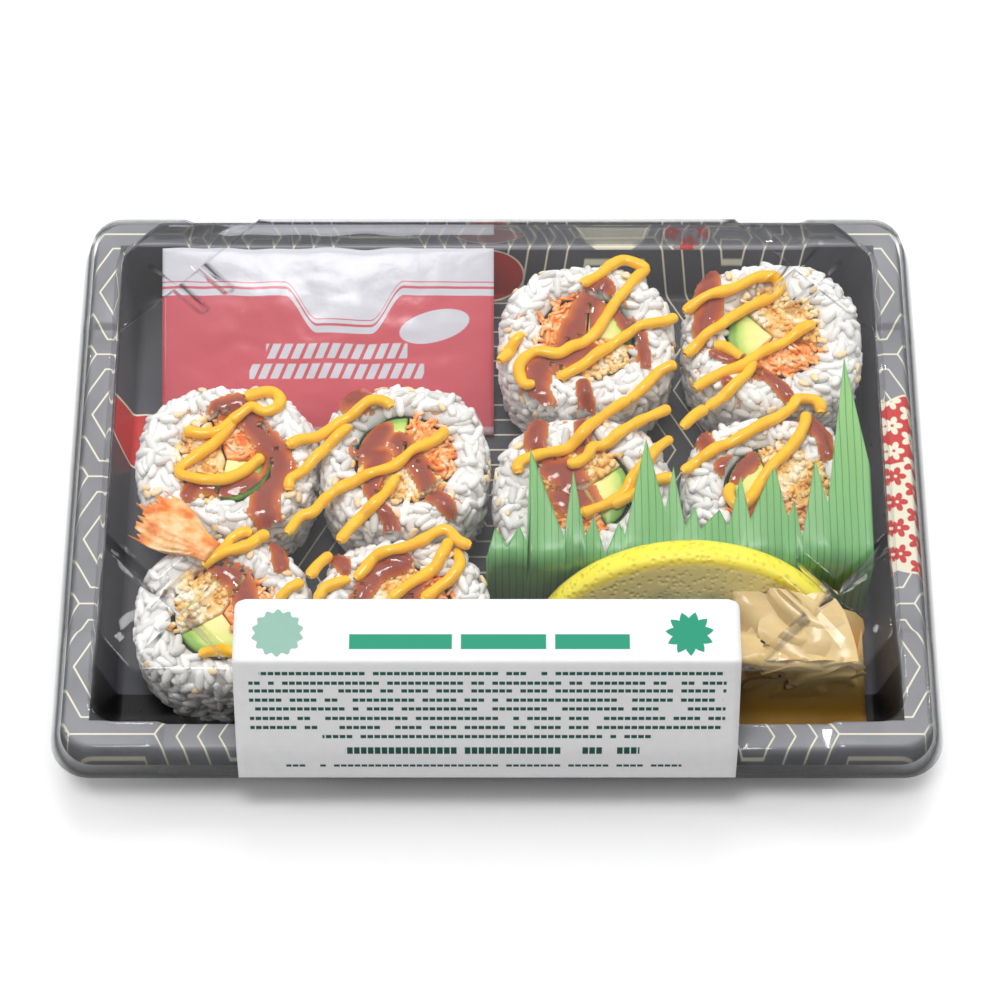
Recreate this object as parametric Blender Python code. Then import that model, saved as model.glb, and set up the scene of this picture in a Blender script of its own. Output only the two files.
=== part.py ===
# Takeaway sushi tray: a printed black tray with a clear lid that snaps shut, held by a paper label.
# Inside lie eight thick shrimp tempura rolls, a soy sauce packet, a green leaf divider, a slice
# of lemon and a heap of pickled ginger. Metres, +Z up, +X to the right and +Y to the back; the
# origin is on the table under the middle of the tray.

import math
import random

import bmesh
import bpy
from mathutils import Vector, noise

# Driving dimensions of the pack
GAP = 0.0003
TRAY_SHEET = 0.0007
TRAY_HALF_X = 0.1024
TRAY_HALF_Y = 0.0737
SKIRT_Z = 0.0133
FLANGE_Z = 0.0186
CORNER_RISE = 0.0014
WELL_HALF_X = 0.0949
WELL_HALF_Y = 0.0654
FLOOR_HALF_X = 0.0912
FLOOR_HALF_Y = 0.0622
FLOOR_Z = TRAY_SHEET
SKIRT_CORNER = 0.0085
FLANGE_CORNER = 0.0065
WELL_CORNER = 0.0060
FLOOR_CORNER = 0.0050

LID_SHEET = 0.0004
LID_HALF_X = 0.1046
LID_HALF_Y = 0.0754
LID_SKIRT_Z = 0.0102
LID_SKIRT_CORNER = 0.0095
LID_PANEL_Z = 0.0372
LID_TOP_Z = 0.0407
LID_PANEL_HALF_X = 0.0913
LID_PANEL_HALF_Y = 0.0606
LID_TOP_HALF_X = 0.0905
LID_TOP_HALF_Y = 0.0596

# Raised corners of the rim: how far from the middle of each side they start, and their slope
RISE_FROM_X = 0.0780
RISE_FROM_Y = 0.0420
RISE_SLOPE = 0.0008
RIM_ARC_POINTS = 8

# Driving dimensions of the food
ROLL_FOOT_Z = FLOOR_Z + GAP
ROLL_TOP_Z = 0.0270
ROLL_HOLE = 0.0123
NORI_OUTER = 0.0120
NORI_INNER = 0.0115
FILLING_OUTER = 0.0112
STRAND_RADIUS = 0.0011
STRAND_TURN = 0.0034
SEED_SIZE = (0.0016, 0.0011, 0.0008)


# Start from an empty scene
for old in list(bpy.data.objects):
    bpy.data.objects.remove(old, do_unlink=True)


# Materials and small makers
def finish(name, colour, roughness, alpha=1.0):
    """A Principled material of one colour."""
    material = bpy.data.materials.new(name)
    material.use_nodes = True
    shader = material.node_tree.nodes["Principled BSDF"]
    shader.inputs["Base Color"].default_value = (*colour, 1.0)
    shader.inputs["Roughness"].default_value = roughness
    shader.inputs["Metallic"].default_value = 0.0
    shader.inputs["Alpha"].default_value = alpha
    return material


BLACK_PRINT = finish("black_print", (0.030, 0.030, 0.034), 0.35)
CLEAR_PLASTIC = finish("clear_plastic", (0.95, 0.96, 0.98), 0.08, 0.25)
WHITE_PAPER = finish("white_paper", (0.90, 0.90, 0.90), 0.60)
RED_FILM = finish("red_film", (0.62, 0.10, 0.14), 0.30)
RICE = finish("rice", (0.88, 0.87, 0.84), 0.45)
NORI = finish("nori", (0.02, 0.03, 0.02), 0.50)
TEMPURA = finish("tempura", (0.80, 0.48, 0.18), 0.55)
CRAB_MIX = finish("crab_mix", (0.85, 0.30, 0.08), 0.50)
AVOCADO = finish("avocado", (0.62, 0.68, 0.24), 0.40)
LEAF_GREEN = finish("leaf_green", (0.06, 0.38, 0.14), 0.35)
LEMON = finish("lemon", (0.90, 0.72, 0.08), 0.40)
GINGER = finish("ginger", (0.88, 0.74, 0.46), 0.35)


def piece_from_bmesh(name, bm, material, smooth=False):
    """Turn a bmesh into a named object with one material."""
    bmesh.ops.recalc_face_normals(bm, faces=bm.faces)
    mesh = bpy.data.meshes.new(name)
    bm.to_mesh(mesh)
    bm.free()
    mesh.materials.append(material)
    if smooth:
        mesh.shade_smooth()
    piece = bpy.data.objects.new(name, mesh)
    bpy.context.scene.collection.objects.link(piece)
    return piece


def add_solidify(piece, thickness, offset):
    """Give an open sheet its thickness; offset 1 adds it on the side that the faces look to."""
    solid = piece.modifiers.new("sheet_thickness", "SOLIDIFY")
    solid.thickness = thickness
    solid.offset = offset
    solid.use_even_offset = True
    return solid


def add_loops(bm, loops, closed_rows=True):
    """Add rows of points and bridge each row to the next with quads."""
    rows = [[bm.verts.new(point) for point in loop] for loop in loops]
    count = len(rows[0])
    last = count if closed_rows else count - 1
    for row, next_row in zip(rows, rows[1:]):
        for i in range(last):
            j = (i + 1) % count
            bm.faces.new((row[i], row[j], next_row[j], next_row[i]))
    return rows


def four_quadrants(quadrant):
    """Mirror one quadrant's points, which run from +X round to +Y, into a full turn."""
    points = list(quadrant)
    points += [(-x, y, z) for x, y, z in reversed(quadrant)]
    points += [(-x, -y, z) for x, y, z in quadrant]
    points += [(x, -y, z) for x, y, z in reversed(quadrant)]
    return points


def rim_loop(half_x, half_y, radius, z_side, z_corner):
    """A rounded rectangle whose corners stand higher than the middles of its sides."""
    quadrant = [(half_x, RISE_FROM_Y - RISE_SLOPE, z_side), (half_x, RISE_FROM_Y + RISE_SLOPE, z_corner)]
    for i in range(RIM_ARC_POINTS):
        angle = math.pi / 2 * i / (RIM_ARC_POINTS - 1)
        x = half_x - radius + radius * math.cos(angle)
        y = half_y - radius + radius * math.sin(angle)
        quadrant.append((x, y, z_corner))
    quadrant.append((RISE_FROM_X + RISE_SLOPE, half_y, z_corner))
    quadrant.append((RISE_FROM_X - RISE_SLOPE, half_y, z_side))
    return four_quadrants(quadrant)


# Tray: one thermoformed sheet, from the skirt over the flange and down to the floor
def make_tray():
    corner_z = FLANGE_Z + CORNER_RISE
    loops = [
        rim_loop(TRAY_HALF_X, TRAY_HALF_Y, SKIRT_CORNER, SKIRT_Z, SKIRT_Z),
        rim_loop(TRAY_HALF_X - 0.0018, TRAY_HALF_Y - 0.0018, FLANGE_CORNER, FLANGE_Z, corner_z),
        rim_loop(WELL_HALF_X, WELL_HALF_Y, WELL_CORNER, FLANGE_Z, corner_z),
        rim_loop(FLOOR_HALF_X, FLOOR_HALF_Y, FLOOR_CORNER, FLOOR_Z, FLOOR_Z),
    ]
    bm = bmesh.new()
    rows = add_loops(bm, loops)
    bm.faces.new(rows[-1])
    tray = piece_from_bmesh("tray", bm, BLACK_PRINT)
    add_solidify(tray, TRAY_SHEET, -1.0)
    return tray


# Lid: skirt, flange and wall, four lower corner panels and a top panel with bevelled corners.
# Two stiffening notches run into the top panel across each bevel.
TOP_BEVEL_X = 0.0580
TOP_BEVEL_Y = 0.0270
BEVEL_FOOT = 0.0018
NOTCH_PLACES = (0.41, 0.59)
NOTCH_LENGTH = 0.0100
NOTCH_HALF_WIDTH = 0.0015
NOTCH_WALL = 0.0005
PANEL_CHAMFER_X = 0.0830
PANEL_CHAMFER_Y = 0.0510


def bevel_with_notches(start, end, z, half_width, length):
    """Points along a bevel from start to end, with two round-ended notches towards the middle."""
    start = Vector(start)
    end = Vector(end)
    along = (end - start).normalized()
    inward = Vector((-along.y, along.x))
    points = [start]
    for place in NOTCH_PLACES:
        mouth = start.lerp(end, place)
        points.append(mouth - along * half_width)
        points.append(mouth - along * half_width * 0.7 + inward * length)
        points.append(mouth + along * half_width * 0.7 + inward * length)
        points.append(mouth + along * half_width)
    points.append(end)
    return [(p.x, p.y, z) for p in points]


def top_loop(half_x, half_y, z, foot, half_width, length):
    """One turn round the top panel, with bevelled and notched corners."""
    start = (half_x, TOP_BEVEL_Y + foot)
    end = (TOP_BEVEL_X + foot, half_y)
    quadrant = [(half_x, TOP_BEVEL_Y * 0.6, z)]
    quadrant += bevel_with_notches(start, end, z, half_width, length)
    quadrant.append((TOP_BEVEL_X * 0.8, half_y, z))
    return four_quadrants(quadrant)


def panel_loop():
    """One turn round the wall's upper edge, where the lower corner panels end in a chamfer."""
    hx = LID_PANEL_HALF_X
    hy = LID_PANEL_HALF_Y
    side_y = TOP_BEVEL_Y + BEVEL_FOOT
    side_x = TOP_BEVEL_X + BEVEL_FOOT
    quadrant = [(hx, TOP_BEVEL_Y * 0.6), (hx, side_y), (hx, (side_y + PANEL_CHAMFER_Y) / 2)]
    chamfer_start = Vector((hx, PANEL_CHAMFER_Y))
    chamfer_end = Vector((PANEL_CHAMFER_X, hy))
    for i in range(6):
        point = chamfer_start.lerp(chamfer_end, i / 5)
        quadrant.append((point.x, point.y))
    quadrant += [((side_x + PANEL_CHAMFER_X) / 2, hy), (side_x, hy), (TOP_BEVEL_X * 0.8, hy)]
    return four_quadrants([(x, y, LID_PANEL_Z) for x, y in quadrant])


def make_lid():
    rest_z = FLANGE_Z + GAP + 0.00005
    rest_corner_z = rest_z + CORNER_RISE
    loops = [
        rim_loop(LID_HALF_X, LID_HALF_Y, LID_SKIRT_CORNER, LID_SKIRT_Z, LID_SKIRT_Z),
        rim_loop(TRAY_HALF_X - 0.0010, TRAY_HALF_Y - 0.0010, FLANGE_CORNER + GAP, rest_z, rest_corner_z),
        rim_loop(WELL_HALF_X + GAP, WELL_HALF_Y + GAP, WELL_CORNER + GAP, rest_z, rest_corner_z),
        panel_loop(),
        top_loop(LID_PANEL_HALF_X, LID_PANEL_HALF_Y, LID_PANEL_Z, BEVEL_FOOT,
                 NOTCH_HALF_WIDTH - NOTCH_WALL, NOTCH_LENGTH),
        top_loop(LID_TOP_HALF_X, LID_TOP_HALF_Y, LID_TOP_Z, 0.0, NOTCH_HALF_WIDTH, NOTCH_LENGTH + NOTCH_WALL),
    ]
    bm = bmesh.new()
    rows = add_loops(bm, loops)
    bm.faces.new(rows[-1])
    bmesh.ops.remove_doubles(bm, verts=bm.verts, dist=0.00002)
    lid = piece_from_bmesh("lid", bm, CLEAR_PLASTIC)
    add_solidify(lid, LID_SHEET, 1.0)
    return lid


# Label: a paper strip stuck on the lid's top, bent over its front edge and down to the skirt
LABEL_LEFT = -0.0602
LABEL_RIGHT = 0.0557
LABEL_BACK_Y = -0.0445
LABEL_PAPER = 0.00015
LABEL_ROUND = 0.0035


def make_label():
    lid_top = LID_TOP_Z + LID_SHEET
    path = [
        (LABEL_BACK_Y, lid_top + GAP),
        (LABEL_BACK_Y - LABEL_ROUND, lid_top + GAP),
        (-LID_TOP_HALF_Y - 0.0006, lid_top + GAP),
        (-LID_TOP_HALF_Y - 0.0012, lid_top - 0.0004),
        (-TRAY_HALF_Y + 0.0001, FLANGE_Z + 0.0020),
        (-LID_HALF_Y - 0.0010, LID_SKIRT_Z),
    ]
    bm = bmesh.new()
    rows = []
    for y, z in path:
        inset = LABEL_ROUND if y == LABEL_BACK_Y else 0.0
        rows.append([(LABEL_LEFT + inset, y, z), (LABEL_RIGHT - inset, y, z)])
    add_loops(bm, rows, closed_rows=False)
    label = piece_from_bmesh("label", bm, WHITE_PAPER)
    add_solidify(label, LABEL_PAPER, 0.0)
    return label


# Soy sauce packet: a sealed film pillow that leans on the back wall of the tray
PACKET_LEFT = -0.0840
PACKET_RIGHT = -0.0008
PACKET_FOOT = (0.0209, 0.0019)
PACKET_HEAD = (0.0632, 0.0220)
PACKET_FULLNESS = 0.0042
PACKET_SEAM = 0.0005
PACKET_COLUMNS = 9
PACKET_ROWS = 7


def packet_point(u, v, side):
    """A point of the packet's upper (side 1) or lower (side -1) film."""
    foot = Vector((0.0, *PACKET_FOOT))
    head = Vector((0.0, *PACKET_HEAD))
    up_slope = (head - foot).normalized()
    out = Vector((0.0, -up_slope.z, up_slope.y))
    swell = (math.sin(math.pi * u) * math.sin(math.pi * v)) ** 0.6 * PACKET_FULLNESS
    crease = noise.noise(Vector((u * 5, v * 4, side * 3.0))) * swell * 0.25
    depth = PACKET_SEAM / 2 + (swell + crease) / 2
    point = foot.lerp(head, v) + out * side * depth
    point.x = PACKET_LEFT + (PACKET_RIGHT - PACKET_LEFT) * u
    return point


def make_packet():
    bm = bmesh.new()
    sheets = {}
    for side in (1, -1):
        grid = []
        for r in range(PACKET_ROWS + 1):
            row = []
            for c in range(PACKET_COLUMNS + 1):
                point = packet_point(c / PACKET_COLUMNS, r / PACKET_ROWS, side)
                row.append(bm.verts.new(point))
            grid.append(row)
        for r in range(PACKET_ROWS):
            for c in range(PACKET_COLUMNS):
                bm.faces.new((grid[r][c], grid[r][c + 1], grid[r + 1][c + 1], grid[r + 1][c]))
        sheets[side] = grid
    outlines = []
    for side in (1, -1):
        grid = sheets[side]
        outline = grid[0][:-1] + [row[-1] for row in grid[:-1]]
        outline += grid[-1][:0:-1] + [row[0] for row in grid[:0:-1]]
        outlines.append(outline)
    upper, lower = outlines
    for i in range(len(upper)):
        j = (i + 1) % len(upper)
        bm.faces.new((upper[i], upper[j], lower[j], lower[i]))
    return piece_from_bmesh("soy_packet", bm, RED_FILM)


# Rolls: a pressed ring of rice round a sheet of nori and three fillings that run right through.
# Each row gives the name, the box that the roll is pressed into, where its fillings start and the
# way that they go round (1 is counter-clockwise), and the lean and the number of strokes of the
# spicy mayonnaise drawn over it.
ROLLS = (
    ("a", (-0.0873, -0.0434, -0.0193, 0.0223), 110, 1, 32, 4),
    ("b", (-0.0429, -0.0019, -0.0193, 0.0225), 330, -1, 36, 4),
    ("c", (-0.0856, -0.0434, -0.0598, -0.0198), 60, 1, 30, 4),
    ("d", (-0.0429, -0.0014, -0.0588, -0.0198), 60, 1, 34, 4),
    ("e", (0.0003, 0.0438, 0.0140, 0.0572), 200, 1, 34, 5),
    ("f", (0.0460, 0.0903, 0.0142, 0.0578), 345, 1, 30, 5),
    ("g", (-0.0009, 0.0422, -0.0272, 0.0134), 185, -1, 36, 5),
    ("h", (0.0446, 0.0888, -0.0272, 0.0135), 320, 1, 33, 5),
)
RICE_AROUND = 30
RICE_BUMP = 0.0006
RICE_SQUARENESS = 2.5
SEEDS_A_ROLL = 4
FILLING_SHARES = (("shrimp", 150, TEMPURA), ("avocado", 95, AVOCADO), ("crab_mix", 115, CRAB_MIX))


def pressed_outline(box, angle, inset):
    """The rice ring's outer edge at an angle: between a circle and the box it is pressed into."""
    x0, x1, y0, y1 = box
    half_x = (x1 - x0) / 2 - inset
    half_y = (y1 - y0) / 2 - inset
    c = abs(math.cos(angle) / half_x) ** RICE_SQUARENESS
    s = abs(math.sin(angle) / half_y) ** RICE_SQUARENESS
    return (c + s) ** (-1 / RICE_SQUARENESS)


def roll_middle(box):
    x0, x1, y0, y1 = box
    return Vector(((x0 + x1) / 2, (y0 + y1) / 2, 0.0))


def rice_ring(name, box, dice):
    """The rice as a closed ring, with bumps the size of its grains."""
    middle = roll_middle(box)
    side_rows = ((0.0034, 0.0), (0.0012, 0.0045), (0.0002, 0.0130), (0.0002, 0.0210), (0.0016, 0.0252))
    top_rows = ((0.34, 0.0258), (0.78, 0.0256))
    loops = [[] for _ in range(len(side_rows) + len(top_rows) + 1)]
    for i in range(RICE_AROUND):
        angle = 2 * math.pi * i / RICE_AROUND
        direction = Vector((math.cos(angle), math.sin(angle), 0.0))
        column = []
        for inset, height in side_rows:
            reach = pressed_outline(box, angle, inset + RICE_BUMP)
            column.append((reach, height))
        rim = pressed_outline(box, angle, RICE_BUMP)
        for share, height in top_rows:
            column.append((rim + (ROLL_HOLE - rim) * share, height))
        for row, (reach, height) in enumerate(column):
            reach += dice.uniform(-RICE_BUMP, RICE_BUMP)
            lift = dice.uniform(-RICE_BUMP, RICE_BUMP) if height > 0.002 else 0.0
            point = middle + direction * reach
            loops[row].append((point.x, point.y, ROLL_FOOT_Z + height + lift))
        point = middle + direction * ROLL_HOLE
        loops[-1].append((point.x, point.y, ROLL_FOOT_Z + 0.0244))
    foot = []
    for i in range(RICE_AROUND):
        x, y, _ = loops[-1][i]
        foot.append((x, y, ROLL_FOOT_Z))
    loops.append(foot)
    loops.append(loops[0])
    bm = bmesh.new()
    add_loops(bm, loops)
    bmesh.ops.remove_doubles(bm, verts=bm.verts, dist=0.000001)
    bmesh.ops.triangulate(bm, faces=bm.faces)
    return piece_from_bmesh(name, bm, RICE)


def strand_path(box, lean, strokes):
    """Turning points of the mayonnaise zigzag over one roll, two at each blunt turn."""
    middle = roll_middle(box)
    reach = ROLL_HOLE + 0.0042
    across = Vector((math.cos(math.radians(lean)), math.sin(math.radians(lean)), 0.0))
    down = Vector((across.y, -across.x, 0.0))
    top_drop = -(reach - 0.0030)
    pitch = -2 * top_drop / strokes
    points = []
    for i in range(strokes):
        side = -1 if i % 2 else 1
        for drop in (top_drop + i * pitch, top_drop + i * pitch + STRAND_TURN):
            half = math.sqrt(max(reach ** 2 - drop ** 2, 0.004 ** 2))
            points.append(middle + down * drop + across * side * half)
    return [(p.x, p.y, ROLL_FOOT_Z + 0.0262) for p in points]


def strand(name, points):
    """A five-sided rope through the points, with closed ends."""
    sides = 5
    bm = bmesh.new()
    centres = [Vector(p) for p in points]
    rows = []
    for i, centre in enumerate(centres):
        before = centres[max(i - 1, 0)]
        after = centres[min(i + 1, len(centres) - 1)]
        ahead = (after - before).normalized()
        sideways = ahead.cross(Vector((0.0, 0.0, 1.0))).normalized()
        row = []
        for k in range(sides):
            turn = 2 * math.pi * k / sides
            offset = sideways * math.cos(turn) + Vector((0.0, 0.0, 1.0)) * math.sin(turn)
            row.append(centre + offset * STRAND_RADIUS)
        rows.append(row)
    made = add_loops(bm, rows)
    bm.faces.new(made[0])
    bm.faces.new(made[-1])
    bmesh.ops.triangulate(bm, faces=bm.faces)
    return piece_from_bmesh(name, bm, RICE)


def clear_side(point, own_name):
    """True where a seed has room: clear of the other rolls, the packet and the tray wall."""
    if abs(point.x) > FLOOR_HALF_X - 0.0004:
        return False
    if abs(point.y) > FLOOR_HALF_Y - 0.0004:
        return False
    if point.x < PACKET_RIGHT and point.y > PACKET_FOOT[0]:
        return False
    if point.x > -0.002 and point.y < -0.0265:
        return False
    for name, box, *_ in ROLLS:
        x0, x1, y0, y1 = box
        inside_x = x0 - 0.0004 < point.x < x1 + 0.0004
        inside_y = y0 - 0.0004 < point.y < y1 + 0.0004
        if name != own_name and inside_x and inside_y:
            return False
    return True


def side_seeds(own_name, box, dice):
    """Sesame seeds half sunk in the free sides of the rice."""
    middle = roll_middle(box)
    seeds = []
    tries = 0
    while len(seeds) < SEEDS_A_ROLL and tries < 200:
        tries += 1
        angle = dice.uniform(0, 2 * math.pi)
        direction = Vector((math.cos(angle), math.sin(angle), 0.0))
        reach = pressed_outline(box, angle, 0.0007)
        if not clear_side(middle + direction * (reach + 0.0018), own_name):
            continue
        bm = bmesh.new()
        bmesh.ops.create_cone(bm, cap_ends=True, segments=6, radius1=0.6, radius2=0.6, depth=1.0)
        seed = piece_from_bmesh(f"seed_{own_name}_{len(seeds)}", bm, RICE)
        along, width, height = SEED_SIZE
        for vertex in seed.data.vertices:
            vertex.co = Vector((vertex.co.x * height, vertex.co.y * width, vertex.co.z * along * 1.6))
        place = middle + direction * reach
        place.z = ROLL_FOOT_Z + dice.uniform(0.007, 0.020)
        seed.location = place
        seed.rotation_euler = (dice.uniform(-0.6, 0.6), 0.0, angle)
        seeds.append(seed)
    return seeds


def fuse(base, extras):
    """Join the extras to the base with one Boolean union, apply it and remove them."""
    group = bpy.data.collections.new(base.name + "_extras")
    bpy.context.scene.collection.children.link(group)
    for extra in extras:
        bpy.context.scene.collection.objects.unlink(extra)
        group.objects.link(extra)
    union = base.modifiers.new("fuse", "BOOLEAN")
    union.operation = "UNION"
    union.operand_type = "COLLECTION"
    union.collection = group
    union.solver = "MANIFOLD"
    bpy.context.view_layer.update()
    depsgraph = bpy.context.evaluated_depsgraph_get()
    joined = bpy.data.meshes.new_from_object(base.evaluated_get(depsgraph))
    base.modifiers.remove(union)
    base.data = joined
    for extra in extras:
        bpy.data.objects.remove(extra, do_unlink=True)
    bpy.data.collections.remove(group)
    drop_scraps(joined)


def drop_scraps(mesh):
    """Keep the largest connected body of a mesh."""
    bm = bmesh.new()
    bm.from_mesh(mesh)
    bmesh.ops.triangulate(bm, faces=bm.faces)
    left = set(bm.verts)
    bodies = []
    while left:
        stack = [left.pop()]
        body = set(stack)
        while stack:
            for edge in stack.pop().link_edges:
                for vertex in edge.verts:
                    if vertex in left:
                        left.discard(vertex)
                        body.add(vertex)
                        stack.append(vertex)
        bodies.append(body)
    bodies.sort(key=len)
    scraps = [vertex for body in bodies[:-1] for vertex in body]
    bmesh.ops.delete(bm, geom=scraps, context="VERTS")
    bm.to_mesh(mesh)
    bm.free()


def nori_ring(name, box):
    middle = roll_middle(box)
    around = 20
    profile = (
        (NORI_OUTER, ROLL_FOOT_Z),
        (NORI_OUTER, ROLL_TOP_Z - 0.0022),
        (NORI_INNER, ROLL_TOP_Z - 0.0022),
        (NORI_INNER, ROLL_FOOT_Z),
    )
    loops = []
    for radius, z in (*profile, profile[0]):
        loop = []
        for i in range(around):
            angle = 2 * math.pi * i / around
            loop.append((middle.x + radius * math.cos(angle), middle.y + radius * math.sin(angle), z))
        loops.append(loop)
    bm = bmesh.new()
    add_loops(bm, loops)
    bmesh.ops.remove_doubles(bm, verts=bm.verts, dist=0.000001)
    return piece_from_bmesh(name, bm, NORI)


def filling(name, box, start, share, material, dice):
    """A filling that fills one sector of the nori tube, with a low uneven dome on top."""
    middle = roll_middle(box)
    half = math.radians(share) / 2
    facing = math.radians(start) + half
    cut_gap = 0.0002
    corner = cut_gap / math.sin(half)
    trim = math.asin(cut_gap / FILLING_OUTER)
    steps = max(4, round(share / 18))
    outline = [(middle.x + corner * math.cos(facing), middle.y + corner * math.sin(facing))]
    for i in range(steps + 1):
        angle = facing - half + trim + (2 * half - 2 * trim) * i / steps
        outline.append((middle.x + FILLING_OUTER * math.cos(angle), middle.y + FILLING_OUTER * math.sin(angle)))
    rim_z = ROLL_TOP_Z - 0.0026
    foot = [(x, y, ROLL_FOOT_Z) for x, y in outline]
    rim = [(x, y, rim_z + dice.uniform(0.0, 0.0006)) for x, y in outline]
    heart_x = sum(x for x, _ in outline) / len(outline)
    heart_y = sum(y for _, y in outline) / len(outline)
    inner = []
    for x, y in outline:
        inner_x = heart_x + (x - heart_x) * 0.55
        inner_y = heart_y + (y - heart_y) * 0.55
        inner.append((inner_x, inner_y, ROLL_TOP_Z - 0.0020 + dice.uniform(0.0, 0.0007)))
    bm = bmesh.new()
    rows = add_loops(bm, [foot, rim, inner])
    bm.faces.new(rows[0])
    bm.faces.new(rows[-1])
    return piece_from_bmesh(name, bm, material)


def make_roll(letter, box, start, way, lean, strokes, number):
    dice = random.Random(100 + number)
    rice = rice_ring(f"roll_{letter}_rice", box, dice)
    extras = [strand(f"strand_{letter}", strand_path(box, lean, strokes))]
    extras += side_seeds(letter, box, dice)
    fuse(rice, extras)
    nori_ring(f"roll_{letter}_nori", box)
    for kind, share, material in FILLING_SHARES:
        end = start + way * share
        filling(f"roll_{letter}_{kind}", box, min(start, end), share, material, dice)
        start = end


# Leaf divider: a thin green sheet cut into uneven spikes, which stands against the front rolls
# and bends back over their tops. Each spike: where it begins, its tip, how far up the sheet the
# tip reaches and how far the cut beside it comes down.
SPIKES = (
    (-0.0025, -0.0004, 0.0345, 0.0270),
    (0.0025, 0.0054, 0.0345, 0.0295),
    (0.0070, 0.0080, 0.0550, 0.0305),
    (0.0159, 0.0182, 0.0485, 0.0320),
    (0.0209, 0.0230, 0.0375, 0.0320),
    (0.0256, 0.0289, 0.0360, 0.0280),
    (0.0303, 0.0357, 0.0570, 0.0325),
    (0.0399, 0.0421, 0.0505, 0.0390),
    (0.0445, 0.0470, 0.0395, 0.0350),
    (0.0482, 0.0528, 0.0390, 0.0335),
    (0.0548, 0.0581, 0.0480, 0.0350),
    (0.0600, 0.0662, 0.0500, 0.0365),
    (0.0689, 0.0707, 0.0415, 0.0375),
    (0.0722, 0.0759, 0.0520, 0.0320),
    (0.0785, 0.0840, 0.0790, 0.0400),
)
LEAF_END = 0.0890
LEAF_THICKNESS = 0.00035
LEAF_FOOT = (-0.0286, 0.0022)
LEAF_BEND_Z = 0.0258
LEAF_BEND_RADIUS = 0.0040
LEAF_BACK_RISE = 0.10


def leaf_point(x, climb):
    """A point of the leaf at x, so far up along the sheet from its foot."""
    foot_y, foot_z = LEAF_FOOT
    straight = LEAF_BEND_Z - foot_z
    turn = math.pi / 2 - LEAF_BACK_RISE
    if climb <= straight:
        y = foot_y
        z = foot_z + climb
    elif climb <= straight + LEAF_BEND_RADIUS * turn:
        angle = (climb - straight) / LEAF_BEND_RADIUS
        y = foot_y + LEAF_BEND_RADIUS * (1 - math.cos(angle))
        z = LEAF_BEND_Z + LEAF_BEND_RADIUS * math.sin(angle)
    else:
        rest = climb - straight - LEAF_BEND_RADIUS * turn
        y = foot_y + LEAF_BEND_RADIUS * (1 - math.sin(LEAF_BACK_RISE)) + rest * math.cos(LEAF_BACK_RISE)
        z = LEAF_BEND_Z + LEAF_BEND_RADIUS * math.cos(LEAF_BACK_RISE) + rest * math.sin(LEAF_BACK_RISE)
    wave = 0.0003 * math.sin(x * 420)
    return (x, y + wave, z + wave)


def make_leaf():
    stations = []
    for begin, tip, tip_reach, cut_reach in SPIKES:
        stations.append((begin, cut_reach))
        stations.append((tip, tip_reach))
    stations.append((LEAF_END, 0.0500))
    rows = []
    for x, reach in stations:
        climbs = (0.0, 0.0150, 0.0235, 0.0265, (0.0265 + reach) / 2, reach)
        rows.append([leaf_point(x, climb) for climb in climbs])
    bm = bmesh.new()
    add_loops(bm, rows, closed_rows=False)
    bmesh.ops.triangulate(bm, faces=bm.faces)
    leaf = piece_from_bmesh("leaf_divider", bm, LEAF_GREEN)
    add_solidify(leaf, LEAF_THICKNESS, 0.0)
    return leaf


# Lemon: half of a lengthwise slice, standing on its cut edge and leaning back on the leaf
LEMON_MIDDLE_X = 0.0455
LEMON_FOOT = (-0.0425, 0.0030)
LEMON_HALF_LENGTH = 0.0390
LEMON_HEIGHT = 0.0368
LEMON_THICKNESS = 0.0076
LEMON_LEAN = math.radians(22)


def make_lemon():
    steps = 18
    outline = []
    for i in range(steps + 1):
        angle = math.pi * i / steps
        outline.append((LEMON_HALF_LENGTH * math.cos(angle), LEMON_HEIGHT * math.sin(angle)))
    half = LEMON_THICKNESS / 2
    levels = ((0.76, -half + 0.0007), (0.93, -half), (1.0, -half + 0.0012), (1.0, half - 0.0012), (0.96, half))
    rows = []
    for scale, depth in levels:
        row = []
        for across, up in outline:
            along = up * scale + 0.0010 * (1 - scale)
            y = LEMON_FOOT[0] + depth * math.cos(LEMON_LEAN) + along * math.sin(LEMON_LEAN)
            z = LEMON_FOOT[1] - depth * math.sin(LEMON_LEAN) + along * math.cos(LEMON_LEAN)
            row.append((LEMON_MIDDLE_X + across * scale, y, z))
        rows.append(row)
    bm = bmesh.new()
    made = add_loops(bm, rows)
    bm.faces.new(made[0])
    bm.faces.new(made[-1])
    return piece_from_bmesh("lemon_slice", bm, LEMON)


# Ginger: a heap of thin folded slices, made as one body whose top is a field of tilted discs
GINGER_BOX = (0.0560, 0.0885, -0.0605, -0.0392)
GINGER_BACK_BESIDE_LEMON = -0.0310
GINGER_CELLS = 14
GINGER_SLICES = 22
GINGER_TOP = 0.0300


def ginger_back(x):
    """The heap's back edge: in front of the lemon, and further back beside it."""
    return GINGER_BOX[3] if x < LEMON_MIDDLE_X + LEMON_HALF_LENGTH + 0.0022 else GINGER_BACK_BESIDE_LEMON


def ginger_top(x, y, slices):
    """Height of the uppermost slice over a point, on a low mound."""
    x0, x1, y0, _ = GINGER_BOX
    u = 2 * (x - x0) / (x1 - x0) - 1
    v = 2 * (y - y0) / (ginger_back(x) - y0) - 1
    edge = max(0.0, 1 - (u ** 4 + v ** 4) / 1.6)
    height = 0.004 + (GINGER_TOP - 0.008) * edge ** 0.5
    for sx, sy, radius, tilt_x, tilt_y, lift in slices:
        away = math.hypot(x - sx, y - sy)
        if away < radius:
            fold = 0.0016 * math.cos(6 * (x - sx) / radius)
            height = max(height, lift + tilt_x * (x - sx) + tilt_y * (y - sy) + fold)
    return min(height, GINGER_TOP)


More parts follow.
